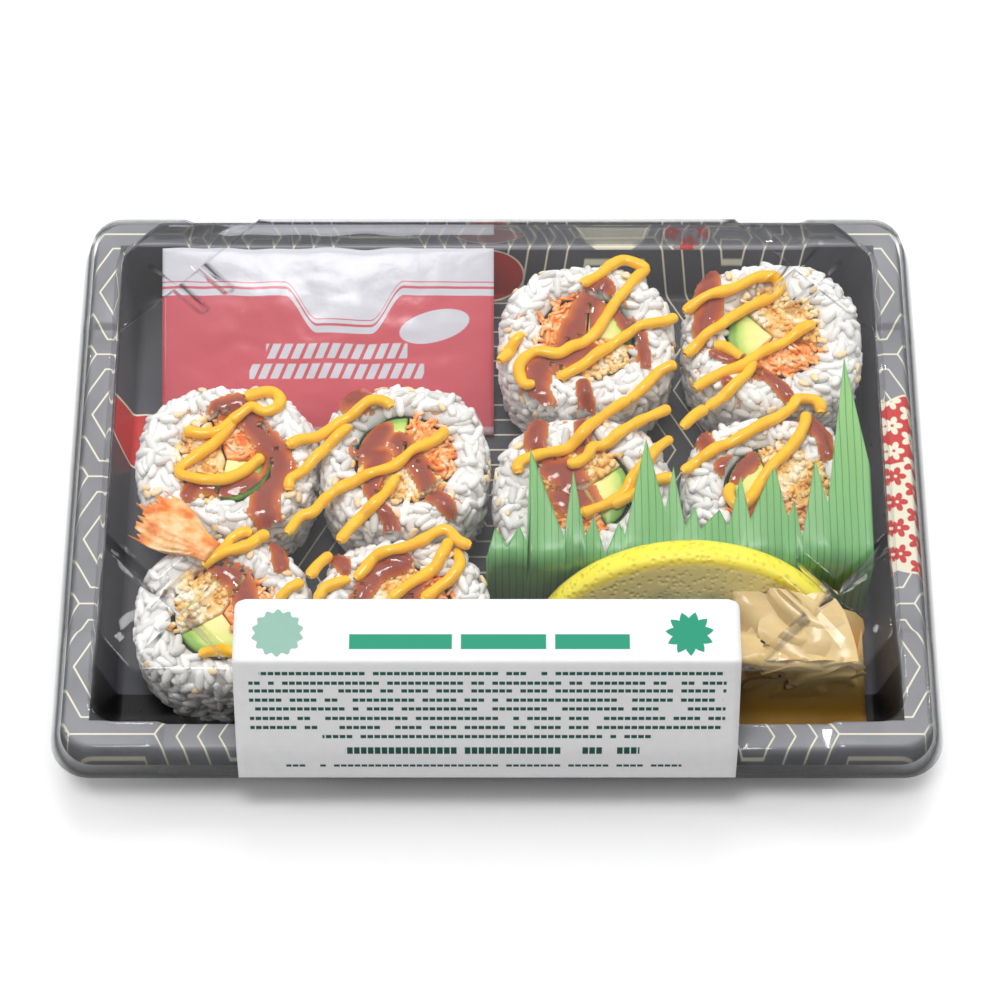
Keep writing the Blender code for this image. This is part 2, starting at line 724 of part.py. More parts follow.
def lemon_front_z(y):
    """Lowest free height in front of the leaning lemon slice."""
    reach = LEMON_FOOT[0] - LEMON_THICKNESS / 2 - 0.0016
    return (y - reach) / math.tan(LEMON_LEAN) + LEMON_FOOT[1]


def make_ginger():
    dice = random.Random(7)
    x0, x1, y0, y1 = GINGER_BOX
    slices = []
    for _ in range(GINGER_SLICES):
        place_x = dice.uniform(x0 + 0.006, x1 - 0.006)
        place_y = dice.uniform(y0 + 0.005, y1 - 0.004)
        tilts = (dice.uniform(-0.7, 0.7), dice.uniform(-0.7, 0.7))
        slices.append((place_x, place_y, dice.uniform(0.006, 0.010), *tilts, dice.uniform(0.018, 0.027)))
    bm = bmesh.new()
    grids = []
    for side in ("top", "foot"):
        grid = []
        for r in range(GINGER_CELLS + 1):
            row = []
            for c in range(GINGER_CELLS + 1):
                x = x0 + (x1 - x0) * c / GINGER_CELLS
                back = ginger_back(x)
                y = y0 + (back - y0) * r / GINGER_CELLS
                foot = FLOOR_Z + GAP
                if back == y1:
                    foot = max(foot, lemon_front_z(y))
                top = max(ginger_top(x, y, slices), foot + 0.0010)
                row.append(bm.verts.new((x, y, top if side == "top" else foot)))
            grid.append(row)
        for r in range(GINGER_CELLS):
            for c in range(GINGER_CELLS):
                bm.faces.new((grid[r][c], grid[r][c + 1], grid[r + 1][c + 1], grid[r + 1][c]))
        grids.append(grid)
    outlines = []
    for grid in grids:
        outline = grid[0][:-1] + [row[-1] for row in grid[:-1]]
        outline += grid[-1][:0:-1] + [row[0] for row in grid[:0:-1]]
        outlines.append(outline)
    top, foot = outlines
    for i in range(len(top)):
        j = (i + 1) % len(top)
        bm.faces.new((top[i], top[j], foot[j], foot[i]))
    return piece_from_bmesh("pickled_ginger", bm, GINGER)


# Shrimp tail: the fried tail fan that sticks out over the left rolls
TAIL_ROOT = (-0.0670, -0.0262)
TAIL_TURN = math.radians(146)
TAIL_Z = ROLL_TOP_Z + 0.0016


def make_tail():
    fan = (
        (0.000, -0.0030), (0.006, -0.0050), (0.013, -0.0072), (0.019, -0.0068), (0.0165, -0.0035),
        (0.0225, -0.0020), (0.0180, 0.0005), (0.0230, 0.0030), (0.0175, 0.0042), (0.0190, 0.0075),
        (0.0120, 0.0066), (0.006, 0.0045), (0.000, 0.0030),
    )
    along = Vector((math.cos(TAIL_TURN), math.sin(TAIL_TURN)))
    across = Vector((-along.y, along.x))
    rows = []
    for scale, lift in ((0.92, 0.0), (1.0, 0.0007), (0.55, 0.0026)):
        row = []
        for reach, side in fan:
            place = along * (0.009 + (reach - 0.009) * scale) + across * side * scale
            row.append((TAIL_ROOT[0] + place.x, TAIL_ROOT[1] + place.y, TAIL_Z + lift))
        rows.append(row)
    bm = bmesh.new()
    made = add_loops(bm, rows)
    bm.faces.new(made[0])
    bm.faces.new(made[-1])
    return piece_from_bmesh("shrimp_tail", bm, TEMPURA)


make_tray()
make_lid()
make_label()
make_packet()
for number, (letter, box, start, way, lean, strokes) in enumerate(ROLLS):
    make_roll(letter, box, start, way, lean, strokes, number)
make_leaf()
make_lemon()
make_ginger()
make_tail()
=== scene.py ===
# Looks of a takeaway sushi tray: a printed black tray under a clear lid that a paper
# label holds shut, with eight shrimp tempura rolls, a packet of soy sauce, a leaf divider, lemon
# and pickled ginger. Metres, +Z up; the origin is on the table under the middle of the tray.

import math
import random

import bpy
import numpy as np
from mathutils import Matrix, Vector, noise
from mathutils.bvhtree import BVHTree


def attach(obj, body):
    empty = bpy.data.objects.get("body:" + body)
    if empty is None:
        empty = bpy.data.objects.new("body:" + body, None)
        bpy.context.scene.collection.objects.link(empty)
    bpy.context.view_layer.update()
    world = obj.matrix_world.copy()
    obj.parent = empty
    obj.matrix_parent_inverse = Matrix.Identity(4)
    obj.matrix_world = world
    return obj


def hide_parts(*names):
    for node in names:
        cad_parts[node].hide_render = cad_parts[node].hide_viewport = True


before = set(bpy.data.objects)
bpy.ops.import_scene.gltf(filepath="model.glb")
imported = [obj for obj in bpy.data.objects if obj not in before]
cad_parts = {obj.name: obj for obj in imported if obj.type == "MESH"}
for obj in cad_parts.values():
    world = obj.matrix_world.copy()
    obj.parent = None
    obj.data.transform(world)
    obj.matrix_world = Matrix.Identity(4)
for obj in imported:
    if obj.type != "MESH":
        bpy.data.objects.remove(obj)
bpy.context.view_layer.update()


# The view: the camera stands in front of the tray and looks down on it with a long lens. A spot
# read off the photograph becomes a point of the pack once its height above the table is known.
FRAME_PX = 1000
LOOK_DOWN = math.radians(62)
FOCAL_WIDTHS = 3.13124
SENSOR_MM = 36.0
CAMERA_AT = Vector((0.00075, -0.36205, 0.6872))

lens = bpy.data.cameras.new("camera")
lens.sensor_width = SENSOR_MM
lens.lens = FOCAL_WIDTHS * SENSOR_MM
lens.clip_start = 0.05
camera = bpy.data.objects.new("camera", lens)
camera.location = CAMERA_AT
camera.rotation_euler = (math.pi / 2 - LOOK_DOWN, 0.0, 0.0)
bpy.context.scene.collection.objects.link(camera)
bpy.context.scene.camera = camera
bpy.context.scene.view_settings.view_transform = "Standard"


def on_level(px, py, z):
    """The point at height z that shows at a pixel of the photograph."""
    across = (px - FRAME_PX / 2) / (FOCAL_WIDTHS * FRAME_PX)
    up = (FRAME_PX / 2 - py) / (FOCAL_WIDTHS * FRAME_PX)
    depth = (CAMERA_AT.z - z) / (math.sin(LOOK_DOWN) - up * math.cos(LOOK_DOWN))
    x = CAMERA_AT.x + across * depth
    y = CAMERA_AT.y + depth * (math.cos(LOOK_DOWN) + up * math.sin(LOOK_DOWN))
    return x, y


# The tray: one thermoformed sheet of black printed plastic. From the skirt it turns over a flange
# whose corners stand higher, down steep walls and into the floor, with soft bends everywhere.
TRAY_SHEET = 0.0007
RIM_Z = 0.0186
CORNER_RISE = 0.0014
RISE_FROM_X = 0.0780
RISE_FROM_Y = 0.0420
RISE_SLOPE = 0.0010
RIM_ARC_STEPS = 12
TRAY_LOOPS = (
    (0.1024, 0.0737, 0.0085, 0.0133, 0.0133),
    (0.1006, 0.0719, 0.0065, RIM_Z, RIM_Z + CORNER_RISE),
    (0.0949, 0.0654, 0.0060, RIM_Z, RIM_Z + CORNER_RISE),
    (0.0912, 0.0622, 0.0050, TRAY_SHEET, TRAY_SHEET),
    (0.0850, 0.0560, 0.0030, TRAY_SHEET, TRAY_SHEET),
)
TRAY_BENDS = (0.0009, 0.0011, 0.0018)
HEXAGON_HALF = 0.0172
HEXAGON_PITCH = 0.0043
PRINT_LINE = 0.00021
FLANGE_FROM = (0.0949, 0.0654)
PRINTED_FLOOR_X = 0.0800
# Painted reflection: behind the front strip the floor's grey and the flange's lighter grey stand in for the
# lid's hazy reflection on the black plastic; only the front strip stays plain black. The flange grey also
# fills one printed disc.
SHEEN_AND_PRINT_FROM_Y = -0.0500
GREY_INK_AND_SHEEN = (0.30, 0.30, 0.32, 1)
FLOOR_PAINTED_SHEEN = (0.105, 0.105, 0.120, 1)
INK_BLACK = (0.004, 0.004, 0.005, 1)
INK_CREAM = (0.80, 0.76, 0.60, 1)
INK_RED = (0.56, 0.035, 0.03, 1)
BEND_STEPS = 4
PRINT_EDGE = 0.0001
# Printed discs: where they lie, their middle on the print, their radius, their field and motif
TRAY_DISCS = (
    ("wall_left", (-0.0885, 0.0195), 0.0075, INK_RED, None),
    ("wall_back", (-0.0022, 0.0705), 0.0088, INK_RED, None),
    ("flange_back", (0.0295, 0.0740), 0.0092, INK_CREAM, None),
    ("flange_back", (0.0480, 0.0700), 0.0055, GREY_INK_AND_SHEEN, INK_RED),
    ("flange_right", (0.1030, 0.0115), 0.0112, INK_RED, INK_CREAM),
    ("flange_right", (0.1010, -0.0112), 0.0148, INK_CREAM, INK_RED),
)
DISC_OUTLINE = 0.0005
BLOSSOM_PITCH = 0.0044
BLOSSOM_PETAL = 0.0026
WALL_UNROLLED = 0.8


def add(tree, kind, sockets=None, **settings):
    """Add a shader node, feed its sockets with values or other nodes' outputs, give its outputs."""
    node = tree.nodes.new("ShaderNode" + kind)
    for key, value in settings.items():
        setattr(node, key, value)
    for key, value in (sockets or {}).items():
        if isinstance(value, bpy.types.NodeSocket):
            tree.links.new(value, node.inputs[key])
        else:
            node.inputs[key].default_value = value
    return node.outputs


def maths(tree, operation, *values, clamp=False):
    """One step of arithmetic in a material."""
    return add(tree, "Math", dict(enumerate(values)), operation=operation, use_clamp=clamp)[0]


def blend(tree, share, first, second, how="MIX"):
    """Mix two colours, where share 0 is the first."""
    return add(tree, "MixRGB", {"Fac": share, "Color1": first, "Color2": second}, blend_type=how)[0]


def within(tree, distance, reach, soft):
    """1 where a distance is less than reach, with a soft edge."""
    limits = {"Value": distance, "From Min": reach - soft, "From Max": reach + soft}
    return add(tree, "MapRange", {**limits, "To Min": 1.0, "To Max": 0.0})[0]


def colours(tree, factor, *stops):
    """A colour ramp; each stop is a position and a colour."""
    outputs = add(tree, "ValToRGB", {"Fac": factor})
    ramp = outputs[0].node.color_ramp
    while len(ramp.elements) < len(stops):
        ramp.elements.new(0.5)
    for element, (position, colour) in zip(ramp.elements, stops):
        element.position = position
        element.color = colour
    return outputs[0]


def grain(tree, scale, depth=2.5, stretch=(1, 1, 1)):
    """Noise over the piece's own coordinates."""
    place = add(tree, "TexCoord")["Object"]
    place = add(tree, "Mapping", {"Vector": place, "Scale": stretch})[0]
    return add(tree, "TexNoise", {"Vector": place, "Scale": scale, "Detail": depth})[0]


def relief(tree, height, distance, strength=1.0):
    """Bump the surface by a height field."""
    shader = tree.nodes["Principled BSDF"]
    normal = add(tree, "Bump", {"Height": height, "Distance": distance, "Strength": strength})[0]
    tree.links.new(normal, shader.inputs["Normal"])


def new_finish(name, colour, **sockets):
    """A Principled material; sockets are set by name, with _ for a space."""
    material = bpy.data.materials.new(name)
    material.use_nodes = True
    shader = material.node_tree.nodes["Principled BSDF"]
    shader.inputs["Base Color"].default_value = colour
    for key, value in sockets.items():
        shader.inputs[key.replace("_", " ")].default_value = value
    return material, material.node_tree, shader


def new_piece(name, points, faces, material, smooth=True):
    """A mesh piece that rides with the pack."""
    mesh = bpy.data.meshes.new(name)
    mesh.from_pydata([tuple(point) for point in points], [], [tuple(face) for face in faces])
    mesh.materials.append(material)
    if smooth:
        mesh.shade_smooth()
    piece = bpy.data.objects.new(name, mesh)
    bpy.context.scene.collection.objects.link(piece)
    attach(piece, "root")
    return piece


def grid_faces(rows, columns, closed=False, first=0):
    """Quads between rows of points, each row closed on itself or open."""
    faces = []
    for r in range(rows - 1):
        for c in range(columns if closed else columns - 1):
            d = (c + 1) % columns
            a = first + r * columns
            b = a + columns
            faces.append((a + c, a + d, b + d, b + c))
    return faces


def smooth_step(value, low, high):
    share = min(1.0, max(0.0, (value - low) / (high - low)))
    return share * share * (3 - 2 * share)


def four_quadrants(quadrant):
    """Mirror one quadrant's points, which run from +X round to +Y, into a full turn."""
    points = list(quadrant)
    points += [(-x, y, z) for x, y, z in reversed(quadrant)]
    points += [(-x, -y, z) for x, y, z in quadrant]
    points += [(x, -y, z) for x, y, z in reversed(quadrant)]
    return np.array(points)


def rim_loop(half_x, half_y, radius, z_side, z_corner):
    """A rounded rectangle whose corners stand higher than the middles of its sides."""
    outline = [(half_x, RISE_FROM_Y * share) for share in (0.3, 0.9)]
    outline += [(half_x, RISE_FROM_Y + RISE_SLOPE * step) for step in (-1, -0.4, 0.4, 1)]
    for i in range(RIM_ARC_STEPS + 1):
        angle = math.pi / 2 * i / RIM_ARC_STEPS
        x = half_x - radius + radius * math.cos(angle)
        y = half_y - radius + radius * math.sin(angle)
        outline.append((x, y))
    outline += [(RISE_FROM_X + RISE_SLOPE * step, half_y) for step in (1, 0.4, -0.4, -1)]
    outline += [(RISE_FROM_X * share, half_y) for share in (0.9, 0.3)]
    quadrant = []
    for x, y in outline:
        rise_x = smooth_step(x, RISE_FROM_X - RISE_SLOPE, RISE_FROM_X + RISE_SLOPE)
        rise_y = smooth_step(y, RISE_FROM_Y - RISE_SLOPE, RISE_FROM_Y + RISE_SLOPE)
        quadrant.append((x, y, z_side + (z_corner - z_side) * rise_x * rise_y))
    return four_quadrants(quadrant)


def soften(loops, bends):
    """Round the bend at each inner loop with a short arc of extra loops."""
    rows = [loops[0]]
    for before, loop, after, bend in zip(loops, loops[1:], loops[2:], bends):
        if bend == 0:
            rows.append(loop)
            continue
        back = before - loop
        ahead = after - loop
        back *= np.minimum(bend / np.linalg.norm(back, axis=1), 0.45)[:, None]
        ahead *= np.minimum(bend / np.linalg.norm(ahead, axis=1), 0.45)[:, None]
        for i in range(BEND_STEPS + 1):
            t = i / BEND_STEPS
            rows.append(loop + back * (1 - t) ** 2 + ahead * t ** 2)
    rows.append(loops[-1])
    return rows


def add_thickness(piece, thickness, offset):
    sheet = piece.modifiers.new("thickness", "SOLIDIFY")
    sheet.thickness = thickness
    sheet.offset = offset


def hexagon_lines(tree, x, y):
    """Nested hexagons in a honeycomb: 1 on a printed line."""
    reach_x = HEXAGON_HALF * math.sqrt(3)
    rings = []
    for shift_x, shift_y in ((0.0, 0.0), (reach_x, HEXAGON_HALF)):
        local_x = maths(tree, "WRAP", maths(tree, "ADD", x, shift_x), reach_x, -reach_x)
        local_y = maths(tree, "WRAP", maths(tree, "ADD", y, shift_y), HEXAGON_HALF, -HEXAGON_HALF)
        flat = maths(tree, "ABSOLUTE", local_y)
        lean = maths(tree, "MULTIPLY", maths(tree, "ABSOLUTE", local_x), math.sqrt(3) / 2)
        lean = maths(tree, "MULTIPLY_ADD", flat, 0.5, lean)
        rings.append(maths(tree, "MAXIMUM", flat, lean))
    ring = maths(tree, "MINIMUM", *rings)
    line = within(tree, maths(tree, "PINGPONG", ring, HEXAGON_PITCH / 2), PRINT_LINE, 0.00008)
    return maths(tree, "MULTIPLY", line, maths(tree, "GREATER_THAN", ring, HEXAGON_PITCH / 2))


def distance_from(tree, x, y, middle):
    """How far a point of the print is from a spot."""
    away_x = maths(tree, "SUBTRACT", x, middle[0])
    away_y = maths(tree, "SUBTRACT", y, middle[1])
    square = maths(tree, "MULTIPLY_ADD", away_x, away_x, maths(tree, "MULTIPLY", away_y, away_y))
    return maths(tree, "SQRT", square), maths(tree, "ARCTAN2", away_y, away_x)


def blossoms(tree, x, y, pitch, petal):
    """Five-petalled flowers on a staggered lattice: 1 on a petal."""
    best = None
    for shift in (0.0, pitch):
        local_x = maths(tree, "WRAP", maths(tree, "ADD", x, shift), pitch, -pitch)
        local_y = maths(tree, "WRAP", maths(tree, "ADD", y, shift * 0.8), pitch * 0.8, -pitch * 0.8)
        away, turn = distance_from(tree, local_x, local_y, (0.0, 0.0))
        lobes = maths(tree, "ABSOLUTE", maths(tree, "COSINE", maths(tree, "MULTIPLY", turn, 2.5)))
        reach = maths(tree, "MULTIPLY_ADD", lobes, petal * 0.55, petal * 0.45)
        flower = within(tree, maths(tree, "SUBTRACT", away, reach), 0.0, PRINT_EDGE)
        heart = within(tree, away, petal * 0.16, PRINT_EDGE)
        flower = maths(tree, "SUBTRACT", flower, heart, clamp=True)
        best = flower if best is None else maths(tree, "MAXIMUM", best, flower)
    return best


def make_tray_print():
    material, tree, shader = new_finish("black_print", INK_BLACK, Roughness=0.3, Specular_IOR_Level=0.3)
    place = add(tree, "SeparateXYZ", {0: add(tree, "TexCoord")["Object"]})
    x, y, z = place[0], place[1], place[2]
    out_x = maths(tree, "ABSOLUTE", x)
    out_y = maths(tree, "ABSOLUTE", y)
    on_side = maths(tree, "GREATER_THAN", out_x, FLANGE_FROM[0])
    flange = maths(tree, "MAXIMUM", on_side, maths(tree, "GREATER_THAN", out_y, FLANGE_FROM[1]))
    floor = maths(tree, "GREATER_THAN", y, SHEEN_AND_PRINT_FROM_Y)
    printed_floor = maths(tree, "MULTIPLY", floor, maths(tree, "LESS_THAN", out_x, PRINTED_FLOOR_X))
    # Painted reflection: the floor behind the front strip turns grey and the flange a lighter grey, standing
    # in for the lid's haze; the print lies on top.
    ground = blend(tree, floor, INK_BLACK, FLOOR_PAINTED_SHEEN)
    ground = blend(tree, flange, ground, GREY_INK_AND_SHEEN)
    colour = blend(tree, maths(tree, "MULTIPLY", grain(tree, 90), 0.4), ground, INK_BLACK)
    lines = maths(tree, "MULTIPLY", hexagon_lines(tree, x, y), maths(tree, "MAXIMUM", flange, printed_floor))
    colour = blend(tree, lines, colour, INK_CREAM)
    flowers = blossoms(tree, x, y, BLOSSOM_PITCH, BLOSSOM_PETAL)
    up_wall = maths(tree, "MULTIPLY_ADD", z, WALL_UNROLLED, y)
    on_back = maths(tree, "GREATER_THAN", y, FLANGE_FROM[1])
    on_right = maths(tree, "GREATER_THAN", x, FLANGE_FROM[0])
    inside = maths(tree, "LESS_THAN", out_x, FLANGE_FROM[0])
    places = {
        "wall_left": (y, inside), "wall_back": (up_wall, inside),
        "flange_back": (y, on_back), "flange_right": (y, on_right),
    }
    for place, middle, radius, field, motif in TRAY_DISCS:
        across, where = places[place]
        away, _ = distance_from(tree, x, across, middle)
        outline = within(tree, away, radius + DISC_OUTLINE, PRINT_EDGE)
        colour = blend(tree, maths(tree, "MULTIPLY", outline, where), colour, INK_CREAM)
        content = blend(tree, flowers, field, motif) if motif else field
        disc = within(tree, away, radius, PRINT_EDGE)
        colour = blend(tree, maths(tree, "MULTIPLY", disc, where), colour, content)
    tree.links.new(colour, shader.inputs["Base Color"])
    rough = add(tree, "MapRange", {"Value": grain(tree, 300), "To Min": 0.22, "To Max": 0.42})[0]
    tree.links.new(rough, shader.inputs["Roughness"])
    relief(tree, grain(tree, 700), 0.00003)
    return material


def make_tray():
    rows = soften([rim_loop(*sizes) for sizes in TRAY_LOOPS], TRAY_BENDS)
    around = len(rows[0])
    points = np.concatenate(rows)
    faces = grid_faces(len(rows), around, closed=True)
    last = (len(rows) - 1) * around
    faces.append(tuple(range(last, last + around)))
    tray = new_piece("tray_shell", points, faces, make_tray_print())
    add_thickness(tray, TRAY_SHEET, -1.0)
    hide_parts("tray")


make_tray()


# The rice of each roll: a thick ring of cooked grains pressed round the nori. Grains are laid in
# uneven rows over a slightly smaller core, each one a bent spindle that points its own way.
ROLL_FOOT_Z = 0.0010
ROLL_HOLE = 0.0123
ROLLS = {
    "a": ((-0.0873, -0.0434, -0.0193, 0.0223), 110, 1),
    "b": ((-0.0429, -0.0019, -0.0193, 0.0225), 330, -1),
    "c": ((-0.0856, -0.0434, -0.0598, -0.0198), 60, 1),
    "d": ((-0.0429, -0.0014, -0.0588, -0.0198), 60, 1),
    "e": ((0.0003, 0.0438, 0.0140, 0.0572), 200, 1),
    "f": ((0.0460, 0.0903, 0.0142, 0.0578), 345, 1),
    "g": ((-0.0009, 0.0422, -0.0272, 0.0134), 185, -1),
    "h": ((0.0446, 0.0888, -0.0272, 0.0135), 320, 1),
}
RICE_PRESS = 2.5
RICE_SIDE = (
    (0.0034, 0.0), (0.0012, 0.0045), (0.0004, 0.0130),
    (0.0004, 0.0205), (0.0014, 0.0236), (0.0034, 0.0252),
)
RICE_TOP = ((0.45, 0.0256), (1.0, 0.0244))
GRAIN_LENGTH = (0.0044, 0.0060)
GRAIN_WIDTH = (0.0021, 0.0026)
GRAIN_SINK = 0.0006
GRAIN_STEP = 0.0036
ROW_STEP = 0.0022
GRAIN_AROUND = 8
GRAIN_RINGS = 6
CORE_INSET = 0.0008
CORE_AROUND = 48
CORE_ROWS = 16
GRAIN_TILT = 0.22


def pressed_reach(box, angle, inset):
    """How far the rice reaches at an angle: between a circle and the box it is pressed into."""
    x0, x1, y0, y1 = box
    c = abs(math.cos(angle) / ((x1 - x0) / 2 - inset)) ** RICE_PRESS
    s = abs(math.sin(angle) / ((y1 - y0) / 2 - inset)) ** RICE_PRESS
    return (c + s) ** (-1 / RICE_PRESS)


def roll_middle(box):
    return Vector(((box[0] + box[1]) / 2, (box[2] + box[3]) / 2, 0.0))


def rice_section(box, angle, inset):
    """The rice's outline at an angle, from its foot over the top to the nori: reaches and heights."""
    reaches = [pressed_reach(box, angle, side + inset) for side, _ in RICE_SIDE]
    heights = [ROLL_FOOT_Z + height for _, height in RICE_SIDE]
    edge = reaches[-1]
    for share, height in RICE_TOP:
        reaches.append(edge + (ROLL_HOLE - edge) * share)
        heights.append(ROLL_FOOT_Z + height - inset)
    return np.array(reaches), np.array(heights)


def rice_point(box, angle, climb, inset=0.0):
    """A point on the rice, so far along its section, and the section's length."""
    reaches, heights = rice_section(box, angle, inset)
    steps = np.hypot(np.diff(reaches), np.diff(heights))
    lengths = np.concatenate(([0.0], np.cumsum(steps)))
    reach = np.interp(climb, lengths, reaches)
    height = np.interp(climb, lengths, heights)
    middle = roll_middle(box)
    point = Vector((middle.x + reach * math.cos(angle), middle.y + reach * math.sin(angle), height))
    return point, lengths[-1]


def spindle(around, rings, blunt, bend):
    """A unit grain along X: its points and faces."""
    points = [(-0.5, 0.0, bend * 0.25)]
    for r in range(1, rings):
        turn = math.pi * r / rings
        x = -0.5 * math.cos(turn)
        girth = 0.5 * math.sin(turn) ** blunt
        for k in range(around):
            side = 2 * math.pi * k / around
            points.append((x, girth * math.cos(side), girth * math.sin(side) + bend * x * x))
    points.append((0.5, 0.0, bend * 0.25))
    faces = [(0, 1 + (k + 1) % around, 1 + k) for k in range(around)]
    faces += grid_faces(rings - 1, around, closed=True, first=1)
    last = len(points) - 1
    ring = last - around
    faces += [(last, ring + k, ring + (k + 1) % around) for k in range(around)]
    return np.array(points), faces


def scatter_mesh(shape, placed):
    """Copies of one shape as joined points and faces; each placing is a centre, axes and sizes."""
    base, faces = shape
    points = []
    all_faces = []
    for centre, axes, sizes in placed:
        first = len(points) * len(base)
        matrix = np.array([axis * size for axis, size in zip(axes, sizes)])
        points.append(base @ matrix + np.array(centre))
        all_faces += [tuple(first + i for i in face) for face in faces]
    return np.concatenate(points), all_faces


def axes_on(normal, yaw, tilt):
    """Axes of a thing that lies on a surface: along it at a yaw, tipped by a tilt."""
    normal = Vector(normal).normalized()
    side = normal.orthogonal().normalized()
    other = normal.cross(side)
    along = side * math.cos(yaw) + other * math.sin(yaw)
    along = (along * math.cos(tilt) + normal * math.sin(tilt)).normalized()
    across = normal.cross(along).normalized()
    up = along.cross(across)
    return np.array(along), np.array(across), np.array(up)


def rice_normal(box, angle, climb):
    here, _ = rice_point(box, angle, climb)
    round_it, _ = rice_point(box, angle + 0.05, climb)
    up_it, _ = rice_point(box, angle, climb + 0.001)
    return (round_it - here).cross(up_it - here).normalized()


def make_rice_finish():
    material, tree, shader = new_finish("rice", (0.85, 0.84, 0.81, 1), Roughness=0.34)
    own = add(tree, "NewGeometry")["Random Per Island"]
    colour = colours(
        tree, own,
        (0.0, (0.66, 0.645, 0.62, 1)), (0.3, (0.80, 0.785, 0.755, 1)), (1.0, (0.90, 0.885, 0.86, 1)),
    )
    tree.links.new(colour, shader.inputs["Base Color"])
    relief(tree, grain(tree, 1500, 0.0), 0.00008, 0.5)
    return material


RICE_FINISH = make_rice_finish()
GRAIN_SHAPE = spindle(GRAIN_AROUND, GRAIN_RINGS, 0.75, 0.35)


def rice_core(box):
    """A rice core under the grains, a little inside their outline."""
    around = CORE_AROUND
    rows = CORE_ROWS
    points = []
    for r in range(rows):
        for i in range(around):
            angle = 2 * math.pi * i / around
            _, length = rice_point(box, angle, 0.0, CORE_INSET)
            point, _ = rice_point(box, angle, length * r / (rows - 1), CORE_INSET)
            points.append(point)
    middle = roll_middle(box)
    for i in range(around):
        angle = 2 * math.pi * i / around
        x = middle.x + ROLL_HOLE * math.cos(angle)
        y = middle.y + ROLL_HOLE * math.sin(angle)
        points.append((x, y, ROLL_FOOT_Z))
    return np.array([tuple(p) for p in points]), grid_faces(rows + 1, around, closed=True)


def make_rice(letter, box, dice):
    placed = []
    _, length = rice_point(box, 0.0, 0.0)
    rows = round(length / ROW_STEP)
    for row in range(rows + 1):
        climb = length * (row + 0.3) / (rows + 0.6)
        point, _ = rice_point(box, 0.0, climb)
        reach = (point - roll_middle(box)).xy.length
        count = round(2 * math.pi * reach / GRAIN_STEP)
        for i in range(count):
            angle = 2 * math.pi * (i + dice.uniform(-0.4, 0.4)) / count + row * 0.7
            place = min(max(climb + dice.uniform(-0.6, 0.6) * ROW_STEP, 0.0008), length)
            point, _ = rice_point(box, angle, place)
            normal = rice_normal(box, angle, place)
            long = dice.uniform(*GRAIN_LENGTH)
            wide = dice.uniform(*GRAIN_WIDTH)
            centre = point - normal * (GRAIN_SINK + dice.uniform(-0.0004, 0.0004))
            axes = axes_on(normal, dice.uniform(0, math.pi), dice.uniform(-GRAIN_TILT, GRAIN_TILT))
            centre.z = max(centre.z, ROLL_FOOT_Z + wide * 0.8)
            placed.append((centre, axes, (long, wide, wide * 0.85)))
    grains, grain_faces = scatter_mesh(GRAIN_SHAPE, placed)
    core, core_faces = rice_core(box)
    faces = grain_faces + [tuple(len(grains) + i for i in face) for face in core_faces]
    rice = new_piece(f"rice_{letter}", np.concatenate([grains, core]), faces, RICE_FINISH)
    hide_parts(f"roll_{letter}_rice")
    return rice


food = {}
for number, (letter, (box, *_)) in enumerate(ROLLS.items()):
    food[letter] = [make_rice(letter, box, random.Random(300 + number))]


# The nori: a thin sheet of dark seaweed round the fillings, with a wavy upper edge that shows as
# a broken dark line inside the rice.
NORI_RADIUS = 0.0118
NORI_SHEET = 0.0004
NORI_TOP_Z = 0.0238
NORI_AROUND = 72


def make_nori_finish():
    material, tree, shader = new_finish("nori", (0.010, 0.016, 0.012, 1), Roughness=0.45)
    colour = blend(tree, grain(tree, 500), (0.006, 0.010, 0.008, 1), (0.030, 0.040, 0.028, 1))
    tree.links.new(colour, shader.inputs["Base Color"])
    relief(tree, grain(tree, 900), 0.0002)
    return material


NORI_FINISH = make_nori_finish()


def make_nori(letter, box):
    around = NORI_AROUND
    middle = roll_middle(box)
    points = []
    for z in (ROLL_FOOT_Z, 0.012, 0.021, NORI_TOP_Z):
        for i in range(around):
            angle = 2 * math.pi * i / around
            direction = Vector((math.cos(angle), math.sin(angle), 0.0))
            wave = noise.noise(direction * 2.5 + Vector((0, 0, z * 60 + box[0] * 500)))
            reach = NORI_RADIUS + 0.0002 * wave
            height = z + (0.0009 * wave if z == NORI_TOP_Z else 0.0)
            points.append(middle + direction * reach + Vector((0, 0, height)))
    nori = new_piece(f"nori_{letter}", points, grid_faces(4, around, closed=True), NORI_FINISH)
    add_thickness(nori, NORI_SHEET, 0.0)
    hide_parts(f"roll_{letter}_nori")


for letter, (box, *_) in ROLLS.items():
    make_nori(letter, box)


# The fillings: battered shrimp, shredded crab mix and avocado, each a wedge that runs through the
# roll. The cut ends are crumbly, stringy or smooth; loose crumbs and shreds lie on them.
FILLING_REACH = 0.0112
FILLING_RIM_Z = 0.0246
FILLING_PEAK_Z = 0.0268
FILLING_RINGS = 14
FILLING_SHARES = (("shrimp", 150), ("avocado", 95), ("crab_mix", 115))


def wedge_outline(middle, facing, half):
    """The outline of a wedge: its corner near the middle, then the arc."""
    cut_gap = 0.0002
    corner = cut_gap / math.sin(half)
    trim = math.asin(cut_gap / FILLING_REACH)
    heart = Vector((middle.x + corner * math.cos(facing), middle.y + corner * math.sin(facing)))
    arc = []
    steps = max(12, round(math.degrees(half) / 2.5))
    for i in range(steps + 1):
        angle = facing - half + trim + 2 * (half - trim) * i / steps
        turned = Vector((math.cos(angle), math.sin(angle)))
        arc.append(middle.xy + turned * FILLING_REACH)
    side = 10
    first = [heart.lerp(arc[0], i / side) for i in range(side)]
    last = [arc[-1].lerp(heart, i / side) for i in range(side)]
    return first + arc[:-1] + last


